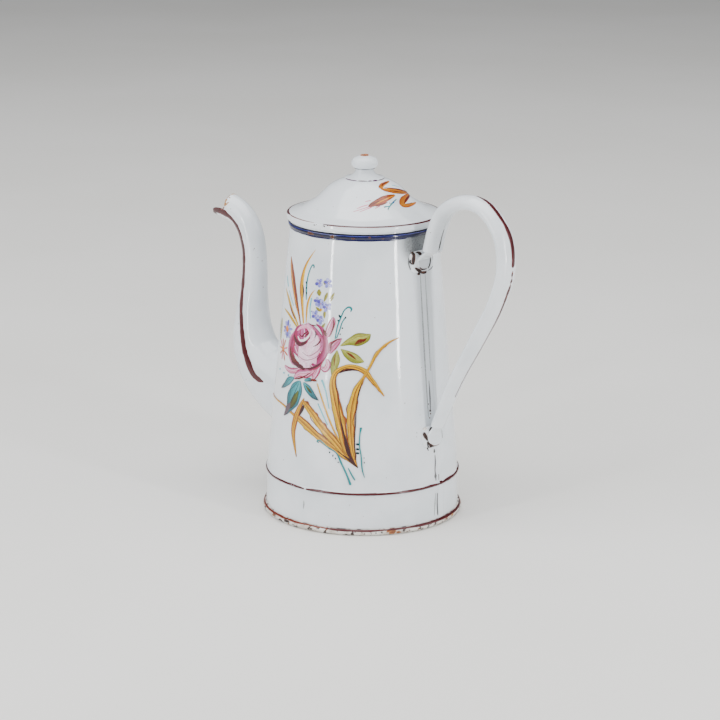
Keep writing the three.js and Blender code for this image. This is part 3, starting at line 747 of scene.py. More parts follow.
def tongue(height, end, inside, bore):
    """A flat tongue from the pad up into the open end of the tube: rounded at its lower tip."""
    def on_wall(level):
        return (-wall_radius(level) - TONGUE_OFF - TONGUE_THICK / 2, level)

    low = height - (PAD_HEIGHT - 4) / 2
    knots = [on_wall(low), on_wall(height), on_wall(height + 1.5), end, inside]
    shares = np.concatenate([np.linspace(0, 0.12, 10), np.linspace(0.12, 1, 46)[1:]])
    turn = full_turn(40)
    centre = along_curve(knots, shares)
    along = unit(np.gradient(centre, axis=0))
    travelled = travel(centre)
    rounding = np.sqrt(np.clip(1 - (1 - travelled / TONGUE_TIP) ** 2, 0.0, 1))
    tip = np.where(travelled < TONGUE_TIP, rounding, 1)
    narrowing = smoothstep((shares - 0.5) / 0.2)
    half_width = (TONGUE_WIDTH + (bore * TONGUE_FIT - TONGUE_WIDTH) * narrowing) / 2 * tip
    half_thick = TONGUE_THICK / 2 * np.clip(tip * 1.4, 0.02, 1)
    out_share, across_share = squarish(turn, TONGUE_CORNER)
    out = half_thick[:, None] * out_share
    across = half_width[:, None] * across_share
    points = np.stack([
        centre[:, :1] - along[:, 1:] * out, across, centre[:, 1:] + along[:, :1] * out,
    ], -1)
    faces = grid(len(shares), len(turn), close_rows=False)
    faces += [list(range(len(turn))), list(range((len(shares) - 1) * len(turn), len(shares) * len(turn)))]
    return points.reshape(-1, 3), faces


def pad_rise(out):
    """How proud of the wall a pad's soft-edged face is, at a share of the way out from its middle."""
    return (PAD_THICK + 0.3) * (1 - np.minimum(out, 1) ** 14) ** 0.6


def pad(height, width):
    """A low pad on the wall with soft enamel edges."""
    x, y = squarish(full_turn(96), PAD_CORNER)
    rings = np.concatenate([np.linspace(0.02, 0.8, 9), [0.86, 0.91, 0.95, 0.975, 0.99, 1.0, 1.0]])
    proud = pad_rise(rings)
    proud[-2], proud[-1] = 0.03, -PAD_SUNK
    across, level = rings[:, None] * (x * width / 2), height + rings[:, None] * (y * PAD_HEIGHT / 2)
    points = around(np.pi - across / wall_radius(height), wall_radius(level) + proud[:, None], level)
    centre = [[-(wall_radius(height) + proud[0]), 0, height]]
    back = [[-(wall_radius(height) - PAD_SUNK), 0, height]]
    count = len(x)
    faces = grid(len(rings), count, close_rows=False)
    points = np.vstack([points.reshape(-1, 3), centre, back])
    last = (len(rings) - 1) * count
    for k in range(count):
        after = (k + 1) % count
        faces.append([k, after, len(points) - 2])
        faces.append([last + k, last + after, len(points) - 1])
    return points, faces


def joined(*parts):
    points, faces = [], []
    for part_points, part_faces in parts:
        start = sum(len(p) for p in points)
        points.append(part_points)
        faces += [[i + start for i in face] for face in part_faces]
    return np.vstack(points), faces


def handle_inside(from_upper):
    """The point of the tube's line that a tongue reaches inside one of its ends."""
    shares = np.linspace(0, 1, 4000) if from_upper else np.linspace(1, 0, 4000)
    run = along_curve(handle_line, shares)
    return tuple(run[np.searchsorted(travel(run), TONGUE_INSIDE)])


handle()
for name, height, width, end in (("upper", HIGH_TAB, HIGH_PAD, 0), ("lower", LOW_TAB, LOW_PAD, -1)):
    bore = HANDLE_LINE[end][2] * HANDLE_WIDTH - 2 * HANDLE_SHEET
    strip = tongue(height, handle_line[end], handle_inside(end == 0), bore)
    make(f"{name}_tab", *joined(pad(height, width), strip), white, "pot", [f"handle_{name}_tab"])

# Brushwork


class Face:
    """A surface to paint on: point(u, v) gives its points, and outward tells which way is out."""

    def __init__(self, point, outward=1):
        self.point, self.outward = point, outward

    def frame(self, u, v):
        """Its points, how far a step of u and of v goes, and the way out."""
        step = 1e-3
        here = self.point(u, v)
        along_u = (self.point(u + step, v) - self.point(u - step, v)) / (2 * step)
        along_v = (self.point(u, v + step) - self.point(u, v - step)) / (2 * step)
        return here, along_u, along_v, unit(np.cross(along_u, along_v)) * self.outward


def turned(angle, radius, height):
    turn = np.radians(CAMERA_SIDE + np.asarray(angle, float))
    return around(turn, radius, height + 0 * turn)


def drawn_out(rows, by=6.0):
    """The rows with both ends carried straight on, so that a brush may pass them."""
    first = rows[0] + unit(rows[0] - rows[1]) * by
    last = rows[-1] + unit(rows[-1] - rows[-2]) * by
    return np.vstack([first, rows, last])


def turned_face(rows, places, outward=1):
    """A face turned from rows of (radius, height), with v measured by the rows' places."""

    def point(u, v):
        return turned(u, np.interp(v, places, rows[:, 0]), np.interp(v, places, rows[:, 1]))

    return Face(point, outward)


def on_run(rows, key=1, outward=1):
    """A face turned from rows of (radius, height), with v the radius (key 0) or the height (key 1)."""
    rows = np.asarray(rows, float)
    rows = drawn_out(rows[np.argsort(rows[:, key], kind="stable")])
    return turned_face(rows, rows[:, key], outward)


def along_rows(rows, radius, height):
    """A face turned from rows of (radius, height), with v the way along them, and v at one of them."""
    rows = drawn_out(np.asarray(rows, float))
    way = travel(rows)
    nearest = np.argmin(np.hypot(rows[:, 0] - radius, rows[:, 1] - height))
    return turned_face(rows, way), way[nearest]


def on_roll(radius, centre_radius, centre_height):
    """A face on a rolled edge, with v the angle on the roll: 0 outermost, 90 on top."""

    def point(u, v):
        turn = np.radians(v)
        return turned(u, centre_radius + radius * np.cos(turn), centre_height + radius * np.sin(turn))

    return Face(point)


def smooth_noise(count, columns, spacing):
    """Seeded noise that changes slowly from row to row."""
    coarse = rng.standard_normal((int(count / spacing) + 3, columns))
    at = np.arange(count) / spacing
    low = at.astype(int)
    part = smoothstep(at - low)[:, None]
    return coarse[low] * (1 - part) + coarse[low + 1] * part


def blended(values, at):
    """Rows of values at places between them."""
    low = np.minimum(at.astype(int), max(len(values) - 2, 0))
    high = np.minimum(low + 1, len(values) - 1)
    part = (at - low).reshape(-1, 1, 1)
    return values[low] * (1 - part) + values[high] * part


# How much higher each stroke lies than the one before it, and for small marks that hardly overlap.
LAYER, THIN_LAYER = 0.003, 0.0008
# How proud of its face a stroke's top lies and how deep its base, its least width, and the spacing of
# its mesh. Strokes broader than a wide one have a base as fine as their top.
STROKE_PROUD, STROKE_SUNK, LEAST_WIDTH, STROKE_MESH, WIDE_STROKE = 0.045, 0.1, 0.15, 0.8, 6
# A chip's rings: share of its size, height above the level, and which of its tones.
CHIP_STEPS, CHIP_PROUD = 30, 0.05
CHIP_RINGS = [(1.0, 0, 0), (0.75, 0.01, 1), (0.4, 0.012, 2), (0.02, 0.012, 2)]
# A chip's outline: waves round it and how strong each is.
CHIP_WAVES = [(2, 0.16), (3, 0.15), (5, 0.1), (9, 0.07)]
# The light tone that a stroke's contrast is measured from.
GROUND = 215.0


class Paint:
    """Brush strokes and chips on one body, gathered into one piece."""

    def __init__(self, name, body, material, contrast=1.5):
        self.name, self.body, self.material, self.contrast = name, body, material, contrast
        self.points, self.faces, self.colours = [], [], []
        self.level, self.step = 0.0, LAYER

    def add(self, points, faces, colours):
        start = sum(len(p) for p in self.points)
        self.points.append(points.reshape(-1, 3))
        self.faces += [[i + start for i in face] for face in faces]
        flat = colours.reshape(-1, 3)
        self.colours.append(np.hstack([flat, np.ones((len(flat), 1))]))
        self.level += self.step

    def tone(self, colour):
        """The colour with its contrast to the white ground raised, because light and glaze pale it."""
        return linear(*np.clip(GROUND + self.contrast * (np.array(colour, float) - GROUND), 3, 242))

    def tints(self, look, done, columns):
        """A look's colours at shares of the way along a stroke, in columns from left to right."""
        stations = np.array([[self.tone(c) for c in row] for row in look])
        rows = blended(stations, done * (len(stations) - 1))
        places = np.linspace(0, stations.shape[1] - 1, columns)
        return blended(rows.swapaxes(0, 1), places).swapaxes(0, 1)

    def spine(self, face, knots, uneven):
        """A stroke's rows through its knots: the share of the way, u, v and width of each."""
        _, along_u, along_v, _ = face.frame(*knots.mean(0)[:2])
        scale = np.array([np.linalg.norm(along_u), np.linalg.norm(along_v), 1.0])
        run = along_curve(knots * scale, np.linspace(0, 1, 24 * len(knots)))
        travelled = travel(run[:, :2])
        length = travelled[-1]
        count = int(np.clip(length / STROKE_MESH, 9, 600))
        done = np.linspace(0, 1, count)
        at = length * (0.6 * done + 0.4 * (1 - np.cos(np.pi * done)) / 2)
        u, v, width = (np.interp(at, travelled, run[:, k]) / scale[k] for k in range(3))
        width = np.maximum(width, LEAST_WIDTH) * (1 + uneven * smooth_noise(count, 1, 5)[:, 0])
        from_end = np.minimum(at, length - at) / np.minimum(width / 2, length / 2)
        width = width * np.sqrt(np.clip(1 - (1 - np.minimum(from_end, 1)) ** 2, 0.004, 1))
        return done, u, v, width

    def stroke(self, face, look, knots, uneven=0.05, streaks=0.07, share=1.0, shift=0.0):
        """A stroke through knots of (u, v, width), with its colours given from left to right.

        It takes up a share of that width, shifted to the left by another share.
        """
        done, u, v, width = self.spine(face, np.array(knots, float), uneven)
        here, along_u, along_v, out = face.frame(u, v)
        left = unit(np.cross(out, np.gradient(here, axis=0)))
        columns = int(np.clip(math.ceil(share * width.max() / STROKE_MESH) + 2, 3, 34))
        offset = (shift + np.linspace(0.5, -0.5, columns) * share) * width[:, None]
        du = (left * along_u).sum(1) / (along_u**2).sum(1)
        dv = (left * along_v).sum(1) / (along_v**2).sum(1)
        on, _, _, out = face.frame(u[:, None] + offset * du[:, None], v[:, None] + offset * dv[:, None])
        top, base = on + out * (STROKE_PROUD + self.level), on - out * STROKE_SUNK
        tint = self.tints(LOOKS[look], done, columns)
        tint = np.clip(tint * (1 + streaks * smooth_noise(len(u), columns, 7))[..., None], 0.002, 0.95)
        under = tint
        if width.max() * share < WIDE_STROKE:
            base, under = base[:, [0, -1]], tint[:, [0, -1]]
        rings = np.concatenate([top, base[:, ::-1]], axis=1)
        count, size = rings.shape[:2]
        faces = grid(count, size, close_rows=False)
        faces += [list(range(size)), list(range((count - 1) * size, count * size))]
        self.add(rings, faces, np.concatenate([tint, under[:, ::-1]], axis=1))

    def chip(self, face, u, v, wide, tall, tones):
        """A place where the enamel has come off: an uneven patch, darkest in the middle."""
        _, along_u, along_v, _ = face.frame(u, v)
        turn = full_turn(CHIP_STEPS)
        phases = rng.uniform(0, 6.28, len(CHIP_WAVES))
        edge = 1 + sum(s * np.sin(n * turn + p) for (n, s), p in zip(CHIP_WAVES, phases))
        rings = [(1.0, -STROKE_SUNK, 0)]
        rings += [(share, CHIP_PROUD + self.level + up, tone) for share, up, tone in CHIP_RINGS]
        points, colours = [], []
        for share, out_by, tone in rings:
            across = share * edge * np.cos(turn) * wide / 2 / np.linalg.norm(along_u)
            up = share * edge * np.sin(turn) * tall / 2 / np.linalg.norm(along_v)
            on, _, _, out = face.frame(u + across, v + up)
            points.append(on + out * out_by)
            uneven = 1 + 0.1 * rng.standard_normal((CHIP_STEPS, 1))
            colours.append(np.tile(self.tone(tones[tone]), (CHIP_STEPS, 1)) * uneven)
        faces = grid(len(rings), CHIP_STEPS, close_rows=False)
        count = len(rings) * CHIP_STEPS
        faces += [list(range(CHIP_STEPS)), list(range(count - CHIP_STEPS, count))]
        self.add(np.array(points), faces, np.clip(np.array(colours), 0.001, 0.95))

    def done(self):
        made = make(
            self.name, np.vstack(self.points), self.faces, self.material, self.body,
            colours=np.vstack(self.colours),
        )
        made.data.set_sharp_from_angle(angle=math.radians(40))


# Colours of the brush, as on a screen: for each stage along a stroke, its tones from left to right.
LOOKS = {
    "gold": [[(224, 197, 76), (208, 169, 28), (174, 125, 18)]],
    "straw": [[(198, 177, 64), (214, 187, 64), (182, 151, 46)]],
    "rust": [
        [(138, 88, 60), (184, 122, 66), (192, 136, 78)],
        [(120, 76, 54), (174, 110, 58), (198, 148, 88)],
        [(108, 64, 48), (164, 102, 52), (188, 130, 66)],
    ],
    "bark": [[(146, 92, 78), (134, 84, 72)]],
    "maroon": [[(98, 36, 40), (112, 44, 42)]],
    "olive": [[(176, 170, 108), (162, 158, 98), (140, 138, 84)]],
    "leaf": [[(150, 150, 92), (186, 188, 132), (162, 166, 106), (142, 144, 90)]],
    "teal": [[(84, 166, 168), (58, 140, 146)]],
    "teal_dark": [[(60, 110, 112), (50, 96, 100)]],
    "slate_blue": [[(112, 146, 178), (96, 130, 166)]],
    "ear": [
        [(196, 142, 94), (188, 128, 80), (178, 114, 70)],
        [(180, 114, 74), (190, 124, 76), (170, 100, 62)],
        [(158, 94, 70), (172, 106, 70), (152, 88, 66)],
    ],
    "lid_gold": [[(200, 154, 96), (190, 140, 80), (172, 114, 72)]],
    "sky": [[(150, 200, 208), (120, 184, 194)]],
    "blade": [
        [(142, 101, 38), (176, 139, 46), (198, 167, 58), (168, 125, 42), (124, 85, 34)],
        [(188, 165, 64), (204, 177, 58), (176, 141, 46), (200, 171, 56), (156, 117, 40)],
        [(198, 173, 68), (210, 187, 72), (188, 155, 52), (206, 179, 62), (166, 127, 42)],
        [(198, 169, 64), (208, 183, 68), (198, 165, 54), (180, 143, 46), (152, 113, 38)],
    ],
    "blade_back": [
        [(152, 99, 24), (214, 181, 46), (198, 155, 32)],
        [(178, 125, 26), (218, 183, 44), (170, 115, 24)],
        [(202, 173, 64), (206, 171, 56), (178, 133, 40)],
    ],
    "teal_leaf": [
        [(96, 150, 158), (128, 184, 188), (112, 172, 176), (92, 146, 152)],
        [(88, 142, 152), (122, 178, 184), (106, 166, 172), (84, 136, 144)],
        [(80, 120, 132), (104, 146, 152), (88, 128, 136), (78, 108, 118)],
        [(92, 84, 96), (96, 92, 104), (90, 84, 94), (86, 78, 90)],
    ],
    "leaf_dark": [
        [(96, 120, 104), (136, 146, 92), (104, 116, 92)],
        [(92, 100, 84), (124, 126, 84), (92, 88, 78)],
        [(84, 74, 84), (92, 80, 84), (80, 70, 80)],
    ],
    "petal_side": [[(176, 98, 136), (210, 162, 186), (182, 112, 146), (152, 70, 112)]],
    "petal_low": [[(164, 78, 118), (198, 142, 172), (232, 190, 206), (182, 114, 148)]],
    "petal_pale": [[(222, 184, 202), (236, 216, 226), (230, 202, 216)]],
    "rose_round": [
        [(172, 98, 136), (206, 156, 182), (226, 184, 204), (202, 150, 178), (174, 98, 136)],
        [(166, 86, 128), (206, 158, 184), (234, 206, 220), (208, 164, 190), (172, 94, 134)],
        [(162, 78, 120), (190, 136, 168), (232, 202, 217), (202, 152, 180), (162, 78, 120)],
        [(146, 54, 98), (176, 106, 142), (206, 170, 192), (182, 114, 150), (148, 56, 102)],
    ],
    "rose_left": [[(154, 66, 108), (182, 110, 146), (206, 156, 182)]],
    "rose_right": [[(182, 118, 152), (172, 92, 132), (148, 58, 102)]],
    "rose_line": [[(162, 88, 124), (154, 76, 114)]],
    "bud": [
        [(172, 86, 130), (192, 126, 162), (206, 152, 182), (188, 120, 158), (166, 82, 124)],
        [(156, 60, 108), (182, 106, 146), (190, 130, 164), (180, 106, 144), (156, 66, 110)],
        [(136, 34, 80), (160, 66, 112), (172, 90, 132), (162, 72, 116), (142, 44, 90)],
    ],
    "bud_light": [[(232, 190, 208), (226, 168, 192)]],
    "rose_deep": [[(136, 28, 68), (124, 22, 60)]],
    "rose_dark": [[(124, 78, 92), (116, 76, 88)]],
    "white": [[(240, 230, 234), (236, 222, 228)]],
    "vein": [[(150, 102, 66), (156, 110, 72)]],
    "vein_dark": [[(122, 86, 78), (114, 82, 76)]],
    "vein_light": [[(232, 186, 84), (226, 176, 74)]],
    "vein_rose": [[(170, 72, 108), (186, 96, 130)]],
    "vein_pale": [[(236, 212, 222), (232, 200, 214)]],
    "vein_teal": [[(70, 116, 120), (84, 132, 134)]],
    "stain": [[(196, 166, 130), (176, 132, 86), (160, 108, 62), (188, 150, 106), (200, 172, 140)]],
    "slate": [[(132, 122, 128), (120, 108, 118)]],
    "violet": [[(150, 152, 204), (160, 162, 212), (168, 166, 214)]],
    "violet_pale": [[(178, 182, 222), (186, 188, 224), (174, 172, 216)]],
    "violet_deep": [[(122, 120, 184), (130, 122, 184)]],
    "pink": [[(222, 150, 170), (206, 120, 140)]],
    "rust_petal": [[(190, 108, 84), (206, 132, 110)]],
    "ochre": [[(222, 164, 60), (206, 142, 46), (180, 116, 42)]],
    "line": [[(123, 83, 87), (116, 80, 84), (130, 87, 92)]],
    "line_brown": [[(155, 105, 98), (135, 90, 86), (165, 125, 112)]],
    "line_violet": [[(150, 110, 128), (104, 72, 128), (140, 96, 110)]],
    "lip": [[(118, 80, 84), (110, 78, 81), (124, 83, 87)]],
    # A grey used for dirt, and round the knob's waist and under the handle for painted shade.
    "grime": [[(122, 122, 124), (96, 94, 96), (150, 150, 152)]],
    "dark": [[(84, 74, 72), (44, 36, 36), (66, 56, 54)]],
    "faint": [[(190, 194, 196), (168, 172, 174), (192, 196, 198)]],
    # A painted highlight.
    "light": [[(222, 216, 208), (234, 230, 226), (216, 206, 194)]],
    # A painted highlight.
    "painted_glint": [[(234, 238, 240), (240, 242, 243)]],
    "blue": [[(40, 42, 100), (32, 34, 92)]],
    "blue_light": [[(96, 100, 168), (84, 88, 158)]],
    "bare": [[(120, 72, 52), (44, 28, 24), (30, 20, 18), (96, 58, 44)]],
    "tan": [[(214, 188, 146), (184, 140, 92), (206, 176, 132)]],
}

# Finer lines within a stroke: shift to the left and width, as shares of the stroke's width, and look.
VEINS = {
    "blade": (
        (0.45, 0.06, "vein"), (0.2, 0.09, "vein_light"), (0.04, 0.08, "vein"), (-0.24, 0.09, "vein_light"),
        (-0.43, 0.13, "vein"),
    ),
    "blade_back": ((0.4, 0.12, "vein"), (0.0, 0.1, "vein"), (-0.4, 0.12, "vein")),
    "rust": (
        (0.4, 0.14, "vein"), (0.05, 0.16, "vein_dark"), (-0.25, 0.14, "vein_light"),
        (-0.44, 0.12, "vein_dark"),
    ),
    "straw": ((0.1, 0.12, "vein"),),
    "ear": ((0.32, 0.08, "vein"), (0.1, 0.08, "vein_light"), (-0.12, 0.1, "vein"), (-0.36, 0.1, "vein")),
    "petal_side": (
        (0.44, 0.1, "vein_rose"), (0.1, 0.06, "vein_rose"), (-0.2, 0.08, "vein_pale"),
        (-0.42, 0.12, "vein_rose"),
    ),
    "petal_low": (
        (0.44, 0.09, "vein_rose"), (0.15, 0.08, "vein_pale"), (-0.1, 0.06, "vein_rose"),
        (-0.42, 0.12, "vein_rose"),
    ),
    "rose_round": (
        (0.44, 0.05, "vein_rose"), (0.36, 0.03, "vein_rose"), (0.3, 0.025, "vein_pale"),
        (-0.3, 0.025, "vein_rose"), (-0.36, 0.03, "vein_pale"), (-0.41, 0.03, "vein_rose"),
        (-0.47, 0.04, "vein_rose"),
    ),
    "bud": (
        (0.36, 0.06, "vein_rose"), (0.2, 0.05, "vein_pale"), (-0.1, 0.05, "vein_rose"),
        (-0.34, 0.06, "vein_rose"),
    ),
    "teal_leaf": ((0.3, 0.06, "vein_teal"), (0.0, 0.07, "vein_teal"), (-0.3, 0.06, "vein_teal")),
    "leaf": ((0.2, 0.05, "olive"), (-0.25, 0.05, "olive")),
}
VEIN_UNEVEN = 0.2

# Tones of a chip, from its edge to its middle.
BARE = ((122, 78, 54), (62, 38, 28), (26, 19, 17))
RUSTY = ((194, 156, 120), (174, 120, 78), (146, 92, 60))
BROWN = ((150, 112, 84), (110, 70, 48), (84, 50, 36))
TAN = ((206, 176, 132), (188, 144, 92), (160, 108, 64))

# Strokes: a look, then knots of mm to the right of the spray's middle, mm above its foot, and width.
GRASSES = [
    ("sky", -44, 139.5, 1.9, -41.5, 135.5, 2.2, -39, 132.5, 1.7),
    ("sky", -37, 130.5, 1.2, -33, 126, 1.3, -28.5, 121, 1),
    (
        "rust", -38, 154.5, 0.9, -36, 149.5, 4.3, -33, 142.5, 6.1, -29.5, 134.5, 5.6, -25, 124.5, 3.6,
        -21.5, 116.5, 2.1, -19, 109, 1.1,
    ),
    ("straw", -45.5, 130.5, 0.8, -37.5, 125, 3, -30, 117, 3.2, -24.5, 112, 2.1, -21, 108, 1.3),
    ("bark", -35, 121, 0.9, -30, 116.5, 1.6, -25.5, 112.5, 0.9),
    ("straw", -45, 116, 0.7, -35, 114, 2.5, -27.5, 110.5, 2.6, -22, 107, 1.5),
    (
        "gold", -8, 164.5, 0.2, -13, 158, 1.1, -17.5, 150.5, 2, -20, 141.5, 3.6, -20, 134, 4.2,
        -18.5, 124.5, 2.9, -16, 111, 1.3,
    ),
    ("maroon", -19, 138, 0.6, -18, 134.5, 1.5, -18, 129, 0.6),
    ("gold", -7, 136.5, 0.2, -10.5, 132, 1.2, -13, 125.5, 1.9, -13.5, 119.5, 1.6, -13.5, 112, 0.8),
    ("olive", -49, 108, 1.9, -51, 101.5, 8.2, -49.5, 92, 2.8),
    (
        "teal", 21, 123.5, 0.6, 21.5, 126, 1.4, 19.5, 127, 1.3, 16.5, 124.5, 1, 15, 121, 1, 12.5, 114, 1,
        11, 104, 0.9,
    ),
    ("teal", 17.5, 119.5, 0.9, 15.5, 116, 0.9, 14, 110.5, 0.9, 12, 104.5, 0.9),
    ("teal_dark", 17.1, 119.6, 1.6, 18.3, 119.6, 1.6),
    ("teal_dark", 12.7, 121.3, 1, 14.1, 119.4, 1.9),
    ("teal_dark", 11.9, 117.6, 0.8, 13.3, 116.6, 1.5),
    ("teal_dark", 15.3, 112.2, 1.2, 16.5, 112, 1.1),
    ("teal_dark", 14.1, 107.8, 1.4, 15, 107.6, 1.1),
    (
        "teal", -9, 151, 0.7, -9, 153, 1.4, -10, 153.5, 1, -12.5, 149.5, 1, -14.5, 142.5, 1.2,
        -15, 135.5, 1.3, -14.5, 128, 0.9,
    ),
    ("teal_dark", -16.1, 140, 1.9, -14.6, 140.2, 1.9),
    ("teal_dark", -15.8, 136.3, 1.9, -14.3, 136.6, 1.9),
    ("teal_dark", -15.5, 132.7, 1.9, -14, 133, 1.9),
    ("sky", -9.5, 130.5, 1.1, -10.5, 123, 1.1, -9.5, 115.5, 0.8),
    ("teal_dark", -9.3, 121.3, 1.1, -8.5, 120.8, 1.1),
    ("olive", -3.3, 137.5, 0.9, -3.3, 135, 3.7, -2.7, 132.6, 1.2),
    ("olive", 3.5, 136, 0.9, 2.5, 133, 2.4, 1, 129, 0.6),
    ("olive", -5.5, 124.5, 0.7, -3.3, 123.3, 2.1, -1.3, 122.1, 0.7),
    ("gold", -0.5, 125.6, 0.7, -1, 123.5, 1.8, -1.3, 121.8, 0.7),
    ("olive", 2.5, 124, 0.6, 2, 121, 2.1, 2, 117.5, 0.7),
    ("olive", 8.8, 136.4, 0.4, 7.5, 134.2, 1.7, 5.6, 131.5, 0.6),
    ("olive", 3, 114.5, 0.5, 1, 111.5, 1.9, -0.5, 108.5, 0.8),
    ("olive", 1.3, 144.2, 0.7, 0.9, 142.5, 2.2, 1.4, 140.9, 0.7),
    ("olive", 8.4, 133.2, 0.4, 6.8, 131.2, 1.1, 5.8, 129.6, 0.4),
    ("leaf", 15, 99.5, 0.4, 20.5, 102.5, 4.6, 27, 104.5, 8.9, 32.5, 106, 7.1, 36, 108.5, 0.7),
    ("bark", 25, 101, 0.3, 28.5, 103.5, 3.1, 31, 104, 2.2, 33.5, 106, 0.3),
    ("leaf", 15.5, 97.5, 0.5, 20.5, 94, 5.4, 26.5, 91, 6.6, 32.5, 89, 0.6),
    ("bark", 19.5, 95.5, 0.3, 23, 93.5, 1.7, 27, 90.5, 0.3),
    ("leaf", 13, 96.5, 0.5, 12.5, 90.5, 5.9, 11, 83, 4.6, 10, 78, 0.6),
    ("bark", 12, 93.5, 0.2, 11.5, 89, 0.8, 11.5, 85, 0.2),
]

ROSE = [
    ("petal_side", 9, 119.5, 0.6, 8.5, 116, 4.5, 6.5, 110.5, 5.1, 4, 104.5, 3.1),
    ("rose_deep", 9, 119, 0.3, 9.5, 114, 1.1, 8.5, 109.5, 0.8, 6.5, 105.5, 0.4),
    ("petal_side", 16, 105, 0.4, 13, 102.5, 4.1, 10, 99, 5.5, 7, 93.5, 3.1),
    ("rose_deep", 15.5, 104.5, 0.3, 12, 103.5, 1, 9, 101, 1.2, 8, 95, 0.8),
    ("petal_low", -36.5, 77, 1.4, -29, 75.5, 4, -22, 76.5, 4, -16.5, 79.5, 1.5),
    ("petal_low", 5.5, 89.5, 1.3, 7, 86, 4.4, 5, 82, 3.8, 1.5, 83, 1.9),
    ("petal_low", 1, 85.5, 1.6, -1.5, 80, 4.8, -4, 75, 3.6, -4.5, 72.5, 0.9),
    ("petal_low", -23, 71, 1.3, -17.5, 75.5, 5.3, -10.5, 77, 6.4, -4, 80, 3),
    ("rose_deep", -22.5, 70.5, 0.4, -16, 72.5, 1.2, -10.5, 75.5, 0.9, -6.5, 78, 0.5),
    (
        "rose_round", -11.5, 112.5, 5.9, -11, 108, 20.6, -10.5, 102, 29.2, -10, 95, 33.2, -9.5, 87.5, 28.4,
        -10.5, 82, 17.6, -11.5, 79.5, 5.4,
    ),
    ("rose_left", -24.5, 104.5, 1.1, -29, 97, 4.4, -29.5, 89.5, 5.7, -25.5, 83.5, 6.1, -22, 80.5, 2.2),
    ("rose_deep", -29.5, 92.5, 0.7, -28, 87, 3.4, -23.5, 83, 4.7, -18, 82, 1.5),
    (
        "rose_right", -4.5, 113, 0.7, 0.5, 110, 2.5, 4, 103, 3.3, 4, 96, 3.5, 0.5, 89, 4.2, -6, 83, 2.6,
        -11.5, 79.5, 0.6,
    ),
    ("petal_pale", -19, 94.5, 2, -14.5, 90.5, 12.4, -10, 87.5, 17.5, -12.5, 83, 8, -14, 80.5, 1.8),
    ("petal_pale", -3, 105, 1.7, -4, 99.5, 7.6, -6.5, 94, 10.9, -10, 89, 5),
    ("rose_line", -15.5, 91, 0.3, -9.5, 89.5, 0.4, -3, 93, 0.5, 2, 99, 0.3),
    ("rose_line", -18.5, 87.5, 0.3, -13, 86, 0.5, -5.5, 88, 0.4, 0.5, 92, 0.3),
    ("bud", -17, 110.5, 5.4, -17, 107, 15, -17, 102.5, 16.9, -17, 98, 13, -17, 95, 4.3),
    ("rose_dark", -25, 101.5, 0.8, -23, 98, 3.2, -18, 96, 2.8, -13.5, 98.5, 2.1, -11.5, 102, 0.5),
    ("white", -21, 101.5, 0.7, -18.5, 99, 1.5, -14, 100, 1.7, -10, 103.5, 1.3, -8.5, 108, 0.5),
    ("bud_light", -22, 105, 0.7, -18, 108, 2, -12.5, 109.5, 2.2, -8.5, 108, 0.8),
    ("rose_deep", -20, 103.5, 0.4, -16.5, 102, 1, -14, 104.5, 1, -10.5, 107, 0.4),
    ("rose_deep", -14.6, 101.5, 0.3, -12.2, 104.1, 0.9, -9.4, 105.7, 0.4),
    ("petal_pale", -8.5, 109, 0.7, -5.5, 106.5, 2.7, -6.5, 102, 3.6, -10.5, 99, 1.6),
    ("slate", -5.2, 108.1, 0.4, -3.8, 105.9, 1.2, -4.8, 102.8, 0.4),
    ("rose_deep", -0.5, 104, 0.3, 0, 102, 1.1, -2.5, 98.5, 0.9, -6, 96.5, 0.3),
    ("rose_deep", -11, 112, 0.3, -7, 111.5, 0.7, -3.5, 111.5, 0.3),
    ("rose_deep", 1.5, 109.9, 0.3, 3.6, 107.2, 2.5, 4.4, 105.1, 0.7),
    ("rose_dark", -26.5, 82, 0.7, -19.5, 81, 2.8, -13, 80, 2.3, -14.5, 78.5, 0.7),
    ("rose_dark", -13, 80, 0.4, -7, 81, 1.6, -0.5, 84.5, 1.3, 2, 87, 0.4),
    ("petal_pale", -15.5, 84.9, 1, -12.7, 82.8, 5, -13.1, 80.5, 0.8),
]

